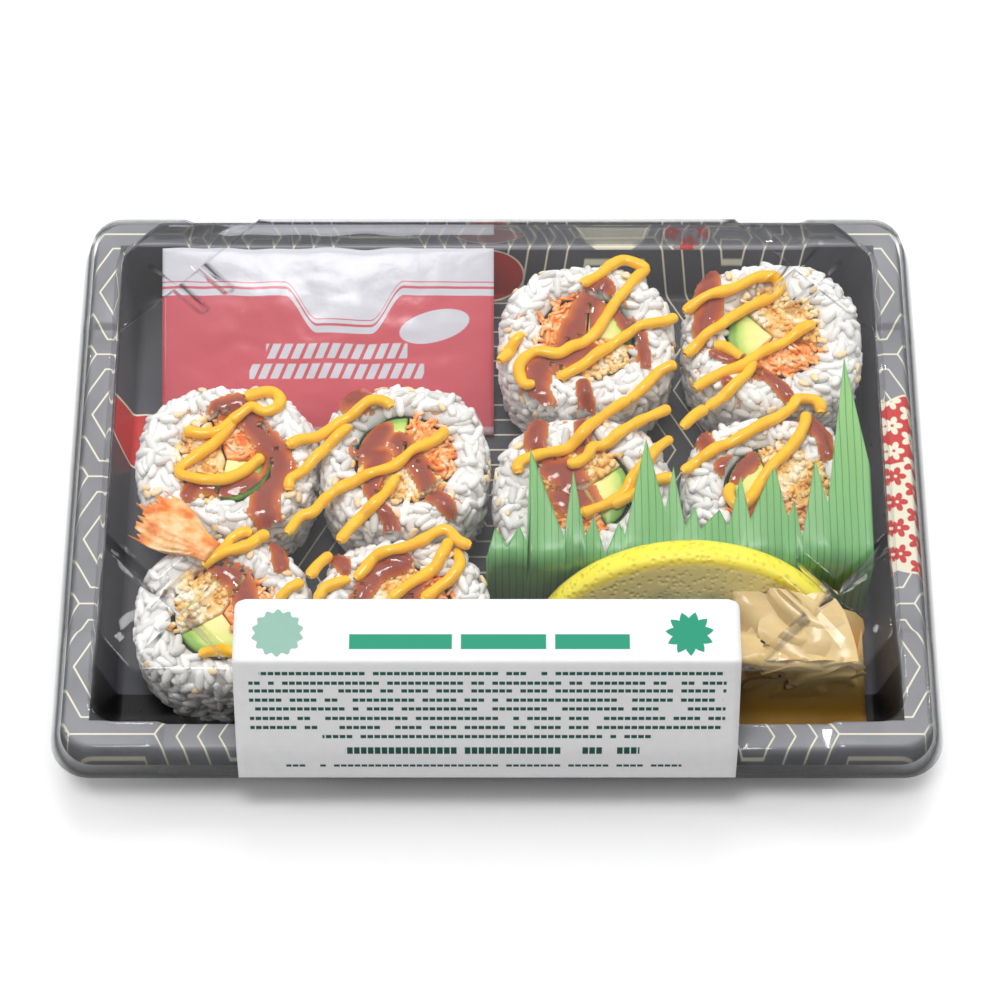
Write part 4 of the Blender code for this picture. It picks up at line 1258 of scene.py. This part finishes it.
def make_lemon_finish():
    material, tree, shader = new_finish("lemon", (0.9, 0.7, 0.05, 1), Roughness=0.35)
    rim = add(tree, "Attribute", attribute_name="rim")["Fac"]
    skin = add(tree, "Attribute", attribute_name="skin")["Fac"]
    place = add(tree, "TexCoord")["Object"]
    pores = add(tree, "TexVoronoi", {"Vector": place, "Scale": 620.0})[0]
    pore = within(tree, pores, 0.30, 0.15)
    rind = blend(tree, grain(tree, 130), (0.96, 0.76, 0.02, 1), (1.0, 0.92, 0.10, 1))
    rind = blend(tree, maths(tree, "MULTIPLY", pore, 0.45), rind, (0.62, 0.50, 0.03, 1))
    flesh = blend(tree, grain(tree, 240), (0.66, 0.66, 0.24, 1), (0.88, 0.86, 0.42, 1))
    face = colours(
        tree, rim,
        (PITH_FROM - 0.04, (0.66, 0.66, 0.28, 1)), (PITH_FROM + 0.02, (0.97, 0.84, 0.34, 1)),
        (RIND_FROM + 0.02, (0.98, 0.80, 0.24, 1)), (RIND_FROM + 0.05, (0.96, 0.74, 0.04, 1)),
    )
    face = blend(tree, within(tree, rim, PITH_FROM - 0.03, 0.01), face, flesh)
    colour = blend(tree, skin, face, rind)
    tree.links.new(colour, shader.inputs["Base Color"])
    relief(tree, maths(tree, "MULTIPLY", pore, -1.0), 0.0003, 0.6)
    return material


def make_lemon():
    around = LEMON_AROUND
    half = LEMON_THICKNESS / 2
    levels = [(scale, -half, 0.0) for scale in (0.02, 0.25, 0.5, 0.66, 0.74, 0.78, 0.84, 0.90)]
    levels += [(0.955, -half + 0.0001, 0.0), (0.985, -half + 0.0008, 1.0), (1.0, -half + 0.0022, 1.0)]
    levels += [(1.004, 0.0, 1.0), (1.0, half - 0.0022, 1.0)]
    levels += [(0.985, half - 0.0008, 1.0), (0.955, half - 0.0001, 0.0)]
    levels += [(scale, half, 0.0) for scale in (0.90, 0.5, 0.02)]
    points = []
    rims = []
    skins = []
    for scale, depth, skin in levels:
        for i in range(around + 1):
            angle = math.pi * i / around
            spoke = 0.5 + 0.5 * math.cos(angle * 12)
            dip = 0.0006 * (1 - spoke) ** 2 if scale < PITH_FROM and abs(depth) == half else 0.0
            inward = dip if depth < 0 else -dip
            up = LEMON_HEIGHT * math.sin(angle) * scale
            pore = 0.00012 * noise.noise(Vector((angle * 40, depth * 900, 0))) * skin
            y = LEMON_FOOT_Y + (depth + inward) * math.cos(LEMON_LEAN) + (up + pore) * math.sin(LEMON_LEAN)
            z = LEMON_FOOT_Z - (depth + inward) * math.sin(LEMON_LEAN) + (up + pore) * math.cos(LEMON_LEAN)
            points.append((LEMON_MIDDLE_X + LEMON_HALF_LENGTH * math.cos(angle) * scale, y, z))
            rims.append(scale)
            skins.append(skin)
    faces = grid_faces(len(levels), around + 1, closed=True)
    lemon = new_piece("lemon_half", points, faces, make_lemon_finish())
    for name, values in (("rim", rims), ("skin", skins)):
        layer = lemon.data.attributes.new(name, "FLOAT", "POINT")
        layer.data.foreach_set("value", np.array(values, np.float32))
    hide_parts("lemon_slice")


make_lemon()


# The pickled ginger: very thin, wet, overlapping slices heaped and folded over each other in the
# front right corner, in a little amber liquid.
GINGER_X0 = 0.0560
GINGER_X1 = 0.0885
GINGER_Y0 = -0.0605
GINGER_Y1 = -0.0310
GINGER_TOP_Z = 0.0300
GINGER_PETALS = 20
GINGER_WET_Z = (0.0060, 0.0190)
GINGER_LAYER = 0.00012
GINGER_POOL = 0.0050
GINGER_CELLS = 20
GINGER_RADII = (0.0115, 0.0165)
GINGER_CURLS = (0.5, 1.2)
GINGER_LOWEST_Z = 0.0015
PETAL_AROUND = 28
PETAL_RINGS = 8


def make_ginger_finish():
    material, tree, shader = new_finish("ginger", (0.95, 0.82, 0.55, 1), Roughness=0.2)
    colour = blend(tree, grain(tree, 120), (0.68, 0.42, 0.13, 1), (0.77, 0.59, 0.28, 1))
    fibre = grain(tree, 500, stretch=(0.25, 1.0, 1.0))
    colour = blend(tree, maths(tree, "MULTIPLY", fibre, 0.3), colour, (0.82, 0.69, 0.42, 1))
    height = add(tree, "SeparateXYZ", {0: add(tree, "TexCoord")["Object"]})[2]
    low, high = GINGER_WET_Z
    dry = add(tree, "MapRange", {"Value": height, "From Min": low, "From Max": high})[0]
    colour = blend(tree, dry, (0.75, 0.38, 0.04, 1), colour)
    tree.links.new(colour, shader.inputs["Base Color"])
    relief(tree, fibre, 0.0002, 0.5)
    return material


def ginger_mound(x, y):
    """Height of the heap under the slices: it falls to the floor all round."""
    u = 2 * (x - GINGER_X0) / (GINGER_X1 - GINGER_X0) - 1
    v = 2 * (y - GINGER_Y0) / (GINGER_Y1 - GINGER_Y0) - 1
    edge = max(0.0, (1 - u ** 4) * (1 - v ** 4))
    height = (GINGER_TOP_Z - 0.0070) * edge ** 0.5 * (0.12 + 0.88 * smooth_step(v, -0.85, -0.3))
    if x < LEMON_MIDDLE_X + LEMON_HALF_LENGTH + 0.0022:
        reach = (LEMON_FOOT_Y - LEMON_THICKNESS / 2 - y) / math.tan(LEMON_LEAN)
        height *= smooth_step(reach, -0.006, 0.004)
    return height


def petal(middle, radius, axes, curl, phase):
    """A thin slice, round with a wavy edge, rolled up along one axis."""
    around = PETAL_AROUND
    rings = PETAL_RINGS
    along, across, up = (Vector(axis) for axis in axes)
    points = [middle.copy()]
    for r in range(1, rings + 1):
        for i in range(around):
            angle = 2 * math.pi * i / around
            reach = radius * r / rings * (1 + 0.12 * math.sin(3 * angle + phase))
            u = reach * math.cos(angle)
            v = reach * math.sin(angle) * 0.75
            bend = v / (radius * curl)
            ruffle = 0.0008 * (r / rings) ** 2 * math.sin(5 * angle + phase * 2)
            rolled = radius * curl * math.sin(bend)
            lift = -radius * curl * (1 - math.cos(bend)) + ruffle
            points.append(middle + along * u + across * rolled + up * lift)
    faces = [(0, 1 + i, 1 + (i + 1) % around) for i in range(around)]
    faces += grid_faces(rings, around, closed=True, first=1)
    return points, faces


def make_ginger():
    finish = make_ginger_finish()
    dice = random.Random(7)
    cells = GINGER_CELLS
    points = []
    for r in range(cells + 1):
        for c in range(cells + 1):
            x = GINGER_X0 + (GINGER_X1 - GINGER_X0) * c / cells
            y = GINGER_Y0 + (GINGER_Y1 - GINGER_Y0) * r / cells
            points.append((x, y, TRAY_SHEET + ginger_mound(x, y)))
    faces = grid_faces(cells + 1, cells + 1)
    for number in range(GINGER_PETALS):
        x = dice.uniform(GINGER_X0 + 0.006, GINGER_X1 - 0.006)
        y = dice.uniform(GINGER_Y0 + 0.005, GINGER_Y1 - 0.008)
        z = TRAY_SHEET + ginger_mound(x, y) + 0.0035 * number / GINGER_PETALS + 0.002
        slope = (dice.uniform(-0.7, 0.7), dice.uniform(-0.9, 0.5), 1.0)
        axes = axes_on(slope, dice.uniform(0, math.pi), 0.0)
        radius = dice.uniform(*GINGER_RADII)
        curl = dice.uniform(*GINGER_CURLS)
        more, more_faces = petal(Vector((x, y, z)), radius, axes, curl, dice.uniform(0, 6))
        faces += [tuple(len(points) + i for i in face) for face in more_faces]
        inset = GINGER_LAYER * (GINGER_PETALS - number)
        for p in more:
            px = min(max(p.x, GINGER_X0 - 0.0030 + inset), GINGER_X1 + 0.0010 - inset)
            py = min(max(p.y, GINGER_Y0 + GINGER_POOL + inset), GINGER_Y1 - inset)
            pz = min(max(p.z, GINGER_LOWEST_Z + inset), GINGER_TOP_Z + 0.0010 - inset)
            points.append((px, py, pz))
    ginger = new_piece("ginger_slices", points, faces, finish)
    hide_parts("pickled_ginger")


make_ginger()


# The soy sauce packet: a sealed pillow of printed film that leans on the tray's back wall. White
# head and red field parted by a dipping line, with a bare oval, slanted bars and a pale foot seam.
PACKET_LEFT = -0.0840
PACKET_RIGHT = -0.0008
PACKET_FOOT = Vector((0.0, 0.0209, 0.0019))
PACKET_HEAD = Vector((0.0, 0.0632, 0.0220))
PACKET_FULLNESS = 0.0042
PACKET_SEAM = 0.0005
PACKET_OVAL = (0.821, 0.578, 0.105, 0.086, 0.45)
PACKET_WAVE = 0.0007
PACKET_BARS = ((0.444, 0.315, 0.740), (0.337, 0.265, 0.790))
PACKET_BAR_STEP = 0.036
PACKET_BAR_SHARE = 0.68
PACKET_STEPS = ((0.37, 0.47), (0.63, 0.73))
PACKET_DIP = 0.204
PACKET_LINE_V = 0.787
PACKET_COLUMNS = 72
PACKET_ROWS = 48


def packet_point(u, v, side):
    """A point of the packet's upper (side 1) or lower (side -1) film."""
    up_slope = (PACKET_HEAD - PACKET_FOOT).normalized()
    out = Vector((0.0, -up_slope.z, up_slope.y))
    swell = (math.sin(math.pi * u) * math.sin(math.pi * v)) ** 0.6 * PACKET_FULLNESS
    spot = Vector((u * 5, v * 4, side * 3.0))
    crease = (noise.noise(spot) * 0.25 + abs(noise.noise(spot * 2.2)) * 0.20 - 0.05) * swell
    depth = PACKET_SEAM / 2 + (swell + crease) / 2
    point = PACKET_FOOT.lerp(PACKET_HEAD, v) + out * side * depth
    point += up_slope * PACKET_WAVE * noise.noise(Vector((u * 9, 0.0, 5.0))) * v
    point.x = PACKET_LEFT + (PACKET_RIGHT - PACKET_LEFT) * u
    return point


def make_packet_finish():
    material, tree, shader = new_finish("red_film", (0.62, 0.06, 0.09, 1), Roughness=0.22)
    place = add(tree, "SeparateXYZ", {0: add(tree, "UVMap", uv_map="film")[0]})
    u, v = place[0], place[1]
    steps = []
    for begin, end in PACKET_STEPS:
        limits = {"Value": u, "From Min": begin, "From Max": end}
        steps.append(add(tree, "MapRange", limits, interpolation_type="SMOOTHSTEP")[0])
    dip = maths(tree, "SUBTRACT", *steps)
    line_v = maths(tree, "MULTIPLY_ADD", dip, -PACKET_DIP, PACKET_LINE_V)
    above = maths(tree, "SUBTRACT", v, line_v)
    red = (0.60, 0.100, 0.125, 1)
    white = (0.62, 0.62, 0.67, 1)
    colour = blend(tree, within(tree, above, -0.043, 0.002), white, red)
    colour = blend(tree, within(tree, maths(tree, "ABSOLUTE", above), 0.007, 0.002), colour, red)
    thin = maths(tree, "ABSOLUTE", maths(tree, "SUBTRACT", above, 0.030))
    colour = blend(tree, within(tree, thin, 0.003, 0.002), colour, red)
    oval_u = maths(tree, "MULTIPLY", maths(tree, "SUBTRACT", u, PACKET_OVAL[0]), 1 / PACKET_OVAL[2])
    oval_v = maths(tree, "MULTIPLY", maths(tree, "SUBTRACT", v, PACKET_OVAL[1]), 1 / PACKET_OVAL[3])
    oval_v = maths(tree, "MULTIPLY_ADD", oval_u, -PACKET_OVAL[4], oval_v)
    away, _ = distance_from(tree, oval_u, oval_v, (0.0, 0.0))
    colour = blend(tree, within(tree, away, 1.0, 0.02), colour, white)
    slant = maths(tree, "MULTIPLY_ADD", v, -0.25, u)
    along_bar = maths(tree, "FRACT", maths(tree, "DIVIDE", slant, PACKET_BAR_STEP))
    stroke = maths(tree, "LESS_THAN", along_bar, PACKET_BAR_SHARE)
    for bar_v, begin, end in PACKET_BARS:
        row = within(tree, maths(tree, "ABSOLUTE", maths(tree, "SUBTRACT", v, bar_v)), 0.040, 0.003)
        beside = maths(tree, "ABSOLUTE", maths(tree, "SUBTRACT", u, (begin + end) / 2))
        row = maths(tree, "MULTIPLY", row, within(tree, beside, (end - begin) / 2, 0.002))
        colour = blend(tree, maths(tree, "MULTIPLY", row, stroke), colour, white)
    seam = within(tree, v, 0.04, 0.004)
    colour = blend(tree, maths(tree, "MULTIPLY", seam, 0.55), colour, white)
    tree.links.new(colour, shader.inputs["Base Color"])
    relief(tree, grain(tree, 120, 3.0), 0.0006, 0.4)
    return material


def make_packet():
    columns = PACKET_COLUMNS
    rows = PACKET_ROWS
    points = []
    uvs = []
    for side in (1, -1):
        for r in range(rows):
            for c in range(columns):
                u = c / (columns - 1)
                v = r / (rows - 1)
                points.append(packet_point(u, v, side))
                uvs.append((u, v))
    packet = new_piece("packet_film", points, pillow_faces(rows, columns), make_packet_finish())
    film = packet.data.uv_layers.new(name="film")
    for loop in packet.data.loops:
        film.data[loop.index].uv = uvs[loop.vertex_index]
    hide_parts("soy_packet")


make_packet()


# The lid: one clear thermoformed sheet that snaps over the tray's skirt. From its flange steep
# walls rise to four lower corner panels and a raised top, which two notches stiffen at each bevel.
LID_SHEET = 0.0004
LID_REST_Z = 0.01895
LID_PANEL_Z = 0.0372
LID_TOP_Z = 0.0407
TOP_BEVEL_X = 0.0580
TOP_BEVEL_Y = 0.0270
BEVEL_FOOT = 0.0018
NOTCH_PLACES = (0.41, 0.59)
NOTCH_LENGTH = 0.0105
NOTCH_HALF_WIDTH = 0.0015
NOTCH_WALL = 0.0005
NOTCH_ARC = 8
LID_TOP_HALF = (0.0905, 0.0596)
PANEL_HALF = (0.0913, 0.0606)
PANEL_CORNER = ((0.0913, 0.0288), (0.0913, 0.0510), (0.0830, 0.0606), (0.0598, 0.0606))
LID_BENDS = (0.0008, 0.0009, 0.0009, 0.0, 0.0, 0.0006, 0.0)
LID_CORNER_POINTS = 2 + 2 * (NOTCH_ARC + 3)


def even_points(outline, count):
    """Points at even steps along an outline."""
    lengths = np.concatenate(([0.0], np.cumsum([(b - a).length for a, b in zip(outline, outline[1:])])))
    steps = np.linspace(0.0, lengths[-1], count)
    xs = np.interp(steps, lengths, [p.x for p in outline])
    ys = np.interp(steps, lengths, [p.y for p in outline])
    return [Vector((x, y)) for x, y in zip(xs, ys)]


def lid_loop(side, corner, back, z_side, z_corner):
    """One turn of the lid; the corner of each quadrant may stand higher than its sides."""
    quadrant = [(p[0], p[1], z_side) for p in side]
    quadrant += [(p[0], p[1], z_corner) for p in corner]
    quadrant += [(p[0], p[1], z_side) for p in back]
    return four_quadrants(quadrant)


def flange_loop(half_x, half_y, radius, z_side, z_corner):
    """A turn that follows the tray's flange and its raised corners."""
    outline = [Vector((half_x, RISE_FROM_Y + RISE_SLOPE))]
    for i in range(RIM_ARC_STEPS + 1):
        angle = math.pi / 2 * i / RIM_ARC_STEPS
        turned = Vector((math.cos(angle), math.sin(angle)))
        outline.append(Vector((half_x - radius, half_y - radius)) + turned * radius)
    outline.append(Vector((RISE_FROM_X + RISE_SLOPE, half_y)))
    side = [(half_x, y) for y in (0.0060, 0.0250, RISE_FROM_Y - RISE_SLOPE)]
    back = [(x, half_y) for x in (RISE_FROM_X - RISE_SLOPE, 0.0400, 0.0060)]
    return lid_loop(side, even_points(outline, LID_CORNER_POINTS), back, z_side, z_corner)


def bevel_with_notches(start, end, half_width, length):
    """Points along a bevel from start to end, with two round-ended notches towards the middle."""
    along = (end - start).normalized()
    inward = Vector((-along.y, along.x))
    points = [start]
    for place in NOTCH_PLACES:
        mouth = start.lerp(end, place)
        points.append(mouth - along * half_width)
        round_at = mouth + inward * (length - half_width)
        for i in range(NOTCH_ARC + 1):
            turn = math.pi * i / NOTCH_ARC
            turned = inward * math.sin(turn) - along * math.cos(turn)
            points.append(round_at + turned * half_width)
        points.append(mouth + along * half_width)
    points.append(end)
    return points


def top_corner(inset, foot, half_width, length):
    """The bevelled, notched corner of the top panel, so far in from its edge."""
    start = Vector((LID_TOP_HALF[0] - inset, TOP_BEVEL_Y + foot))
    end = Vector((TOP_BEVEL_X + foot, LID_TOP_HALF[1] - inset))
    return bevel_with_notches(start, end, half_width, length)


def top_loop(inset, z, corner):
    """A turn round the top panel, so far in from its edge, with the given corner."""
    side = [(LID_TOP_HALF[0] - inset, y) for y in (0.0060, 0.0150, TOP_BEVEL_Y - 0.0030)]
    back = [(x, LID_TOP_HALF[1] - inset) for x in (TOP_BEVEL_X - 0.0030, 0.0300, 0.0060)]
    return lid_loop(side, corner, back, z, z)


def faced(corner, out):
    """A corner's points pressed flat onto a line just outside its bevel, each facing its own point."""
    start = corner[0]
    along = (corner[-1] - start).normalized()
    outward = Vector((along.y, -along.x)) * out
    return [start + outward + along * (point - start).dot(along) for point in corner]


def make_lid_finish():
    material = bpy.data.materials.new("clear_plastic")
    material.use_nodes = True
    tree = material.node_tree
    tree.nodes.clear()
    ripple = add(tree, "Bump", {"Height": grain(tree, 45, 0.0), "Distance": 0.0006, "Strength": 0.25})[0]
    gloss = add(tree, "BsdfGlossy", {"Color": (1, 1, 1, 1), "Roughness": 0.04, "Normal": ripple})[0]
    facing = add(tree, "LayerWeight", {"Blend": 0.5, "Normal": ripple})["Facing"]
    share = maths(tree, "MULTIPLY_ADD", maths(tree, "POWER", facing, 3.5), 0.96, 0.024)
    # Painted shade: the see-through colour darkens to grey where the sheet is seen edge-on, standing in for
    # the dark bands that bending light makes along the steep walls and bends.
    edge = maths(tree, "POWER", facing, 3.0)
    clear_with_painted_shade = blend(tree, edge, (0.985, 0.988, 0.990, 1), (0.40, 0.41, 0.43, 1))
    clear = add(tree, "BsdfTransparent", {"Color": clear_with_painted_shade})[0]
    surface = add(tree, "MixShader", {0: share, 1: clear, 2: gloss})[0]
    output = tree.nodes.new("ShaderNodeOutputMaterial")
    tree.links.new(surface, output.inputs["Surface"])
    return material


def make_lid():
    corner_z = LID_REST_Z + CORNER_RISE
    chamfer = [Vector(p) for p in PANEL_CORNER]
    panel = lid_loop(
        [(PANEL_HALF[0], y) for y in (0.0060, 0.0150, 0.0265)],
        even_points(chamfer, LID_CORNER_POINTS),
        [(x, PANEL_HALF[1]) for x in (0.0570, 0.0300, 0.0060)],
        LID_PANEL_Z, LID_PANEL_Z,
    )
    foot = top_corner(-0.0008, BEVEL_FOOT, NOTCH_HALF_WIDTH - NOTCH_WALL, NOTCH_LENGTH - NOTCH_WALL)
    edge = top_corner(0.0, 0.0, NOTCH_HALF_WIDTH, NOTCH_LENGTH)
    loops = [
        flange_loop(0.1046, 0.0754, 0.0095, 0.0102, 0.0102),
        flange_loop(0.1014, 0.0727, 0.0068, LID_REST_Z, corner_z),
        flange_loop(0.0952, 0.0657, 0.0063, LID_REST_Z, corner_z),
        panel,
        top_loop(-0.0009, LID_PANEL_Z, faced(foot, 0.0003)),
        top_loop(-0.0008, LID_PANEL_Z + 0.00002, foot),
        top_loop(0.0, LID_TOP_Z, edge),
        top_loop(0.0009, LID_TOP_Z, top_corner(0.0009, -0.0004, NOTCH_HALF_WIDTH + 0.0008, NOTCH_LENGTH)),
        top_loop(0.0014, LID_TOP_Z, top_corner(0.0014, -0.0006, NOTCH_HALF_WIDTH + 0.0012, NOTCH_LENGTH)),
    ]
    rows = soften(loops, LID_BENDS)
    around = len(rows[0])
    faces = grid_faces(len(rows), around, closed=True)
    last = (len(rows) - 1) * around
    faces.append(tuple(range(last, last + around)))
    lid = new_piece("lid_shell", np.concatenate(rows), faces, make_lid_finish())
    add_thickness(lid, LID_SHEET, 1.0)
    lid.visible_shadow = False
    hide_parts("lid")


make_lid()


# The label: a matt paper strip stuck on the lid's top, bent over its front edge and down to the
# skirt. Green print: a scalloped disc, heading bars, a starburst and rows of short dashes.
LABEL_LEFT = -0.0602
LABEL_RIGHT = 0.0557
LABEL_PAPER = 0.00015
LABEL_ROUND = 0.0025
LABEL_PATH = (
    (-0.0445, 0.0414), (-0.0602, 0.0414), (-0.0608, 0.0407), (-0.0725, 0.0224),
    (-0.0735, 0.0205), (-0.0742, 0.0187), (-0.0762, 0.0118),
)
LABEL_ROWS = 90
LABEL_COLUMNS = 60
PRINT_UNIT = 0.1
LABEL_STAR = (0.1043, 0.0088)
STAR_POINTS = 11
STAR_DEPTH = 0.0032
LABEL_DISC = (0.0101, 0.0086)
SCALLOPS = 14
SCALLOP_DEPTH = 0.0004
EMBLEM_RADIUS = 0.0056
LABEL_HEADING = ((0.0265, 0.0500), (0.0520, 0.0715), (0.0735, 0.0906))
LABEL_HEADING_RUN = (0.0108, 0.0019)
LABEL_LINES = (
    (0.0189, 0.0060, 0.1120, 0.00045), (0.0215, 0.0035, 0.1127, 0.00045), (0.0236, 0.0035, 0.1127, 0.00045),
    (0.0261, 0.0035, 0.1120, 0.00045), (0.0285, 0.0035, 0.1127, 0.00045), (0.0311, 0.0035, 0.1127, 0.00045),
    (0.0336, 0.0035, 0.1120, 0.00045), (0.0361, 0.0200, 0.0960, 0.00045), (0.0401, 0.0253, 0.0932, 0.00100),
    (0.0452, 0.0113, 0.1031, 0.00040),
)
DASH_STEP = 0.0016
DASH_SHARE = 0.82
DASH_GAPS = 0.16
PRINT_GREEN = (0.0, 0.27, 0.15, 1)
PRINT_DARK = (0.01, 0.10, 0.07, 1)


def make_label_finish():
    material, tree, shader = new_finish("white_paper", (0.9, 0.9, 0.9, 1), Roughness=0.55)
    place = add(tree, "SeparateXYZ", {0: add(tree, "UVMap", uv_map="print")[0]})
    x = maths(tree, "MULTIPLY", place[0], PRINT_UNIT)
    y = maths(tree, "MULTIPLY", place[1], PRINT_UNIT)
    colour = blend(tree, grain(tree, 400), (0.80, 0.80, 0.81, 1), (0.88, 0.88, 0.88, 1))
    away, turn = distance_from(tree, x, y, LABEL_STAR)
    points = maths(tree, "PINGPONG", maths(tree, "MULTIPLY_ADD", turn, STAR_POINTS / (2 * math.pi), 0.3), 0.5)
    star = maths(tree, "SUBTRACT", away, maths(tree, "MULTIPLY_ADD", points, -STAR_DEPTH, EMBLEM_RADIUS))
    colour = blend(tree, within(tree, star, 0.0, PRINT_EDGE), colour, PRINT_GREEN)
    away, turn = distance_from(tree, x, y, LABEL_DISC)
    wave = maths(tree, "COSINE", maths(tree, "MULTIPLY", turn, float(SCALLOPS)))
    rim = maths(tree, "ADD", away, maths(tree, "MULTIPLY", wave, SCALLOP_DEPTH))
    disc = within(tree, rim, EMBLEM_RADIUS, PRINT_EDGE)
    colour = blend(tree, maths(tree, "MULTIPLY", disc, 0.7), colour, PRINT_GREEN)
    run, half = LABEL_HEADING_RUN
    heading = within(tree, maths(tree, "ABSOLUTE", maths(tree, "SUBTRACT", y, run)), half, PRINT_EDGE)
    for begin, end in LABEL_HEADING:
        beside = maths(tree, "ABSOLUTE", maths(tree, "SUBTRACT", x, (begin + end) / 2))
        bar = maths(tree, "MULTIPLY", heading, within(tree, beside, (end - begin) / 2, PRINT_EDGE))
        colour = blend(tree, bar, colour, PRINT_GREEN)
    cell = maths(tree, "FLOOR", maths(tree, "DIVIDE", x, DASH_STEP))
    inked = maths(tree, "LESS_THAN", maths(tree, "FRACT", maths(tree, "DIVIDE", x, DASH_STEP)), DASH_SHARE)
    for run, begin, end, half in LABEL_LINES:
        spot = add(tree, "CombineXYZ", {0: cell, 1: run * 1000})[0]
        word = maths(tree, "GREATER_THAN", add(tree, "TexWhiteNoise", {"Vector": spot})[0], DASH_GAPS)
        line = within(tree, maths(tree, "ABSOLUTE", maths(tree, "SUBTRACT", y, run)), half, PRINT_EDGE)
        beside = maths(tree, "ABSOLUTE", maths(tree, "SUBTRACT", x, (begin + end) / 2))
        line = maths(tree, "MULTIPLY", line, within(tree, beside, (end - begin) / 2, PRINT_EDGE))
        line = maths(tree, "MULTIPLY", line, maths(tree, "MULTIPLY", word, inked))
        colour = blend(tree, line, colour, PRINT_DARK)
    tree.links.new(colour, shader.inputs["Base Color"])
    relief(tree, grain(tree, 1500), 0.00002)
    return material


def make_label():
    lengths = [0.0]
    for (ay, az), (by, bz) in zip(LABEL_PATH, LABEL_PATH[1:]):
        lengths.append(lengths[-1] + math.hypot(by - ay, bz - az))
    rows = LABEL_ROWS
    columns = LABEL_COLUMNS
    points = []
    uvs = []
    for r in range(rows):
        run = lengths[-1] * (r / (rows - 1))
        y = float(np.interp(run, lengths, [p[0] for p in LABEL_PATH]))
        z = float(np.interp(run, lengths, [p[1] for p in LABEL_PATH]))
        gone = max(0.0, LABEL_ROUND - run)
        inset = LABEL_ROUND - math.sqrt(max(LABEL_ROUND ** 2 - gone ** 2, 0.0))
        for c in range(columns):
            x = LABEL_LEFT + inset + (LABEL_RIGHT - LABEL_LEFT - 2 * inset) * c / (columns - 1)
            points.append((x, y, z))
            uvs.append(((x - LABEL_LEFT) / PRINT_UNIT, run / PRINT_UNIT))
    label = new_piece("label_sheet", points, grid_faces(rows, columns), make_label_finish())
    sheet = label.data.uv_layers.new(name="print")
    for loop in label.data.loops:
        sheet.data[loop.index].uv = uvs[loop.vertex_index]
    add_thickness(label, LABEL_PAPER, 0.0)
    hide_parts("label")


make_label()


# The table and the light: a plain white table top inside a photographer's light tent. The tent
# glows from above and behind and is open, so darker, on the camera's side. One large lamp stands
# behind it, smaller ones above and beside, and two small ones give the glints.
TABLE_HALF = 3.0
TENT_GLOW = 0.98
LAMPS = {
    "lamp_back": ((0.05, 0.85, 0.95), 0.60, 6.5, False),
    "lamp_above": ((-0.10, 0.05, 1.10), 0.30, 3.4, True),
    "lamp_left": ((-0.85, -0.20, 0.55), 0.25, 1.2, True),
    "lamp_right": ((0.85, 0.05, 0.60), 0.25, 0.9, True),
    "glint_left": ((-0.45, 0.25, 0.95), 0.05, 0.35, True),
    "glint_right": ((0.50, 0.35, 0.85), 0.05, 0.35, True),
}


def make_table():
    material, tree, shader = new_finish("table_white", (0.96, 0.96, 0.96, 1), Roughness=0.7)
    colour = blend(tree, grain(tree, 3), (0.955, 0.955, 0.955, 1), (0.97, 0.97, 0.97, 1))
    tree.links.new(colour, shader.inputs["Base Color"])
    half = TABLE_HALF
    mesh = bpy.data.meshes.new("table_top")
    corners = [(-half, -half, 0), (half, -half, 0), (half, half, 0), (-half, half, 0)]
    mesh.from_pydata(corners, [], [(0, 1, 2, 3)])
    mesh.materials.append(material)
    table = bpy.data.objects.new("table_top", mesh)
    table.visible_glossy = False
    bpy.context.scene.collection.objects.link(table)


def make_tent():
    world = bpy.data.worlds.new("light_tent")
    bpy.context.scene.world = world
    world.use_nodes = True
    tree = world.node_tree
    way = add(tree, "SeparateXYZ", {0: add(tree, "TexCoord")["Generated"]})
    glow = colours(
        tree, way[2],
        (0.0, (0.12, 0.12, 0.12, 1)), (0.06, (0.32, 0.32, 0.33, 1)),
        (0.5, (0.70, 0.70, 0.71, 1)), (1.0, (1.0, 1.0, 1.0, 1)),
    )
    front = add(tree, "MapRange", {"Value": way[1], "From Min": -0.7, "From Max": 0.1, "To Min": 0.25})[0]
    glow = add(tree, "MixRGB", {"Fac": 1.0, "Color1": glow, "Color2": front}, blend_type="MULTIPLY")[0]
    tree.links.new(glow, tree.nodes["Background"].inputs["Color"])
    tree.nodes["Background"].inputs["Strength"].default_value = TENT_GLOW


def make_lamps():
    for name, (place, size, power, mirrored) in LAMPS.items():
        lamp = bpy.data.lights.new(name, "AREA")
        lamp.shape = "SQUARE"
        lamp.size = size
        lamp.energy = power
        stand = bpy.data.objects.new(name, lamp)
        stand.location = place
        stand.rotation_euler = Vector(place).to_track_quat("Z", "Y").to_euler()
        stand.visible_glossy = mirrored
        bpy.context.scene.collection.objects.link(stand)


make_table()
make_tent()
make_lamps()
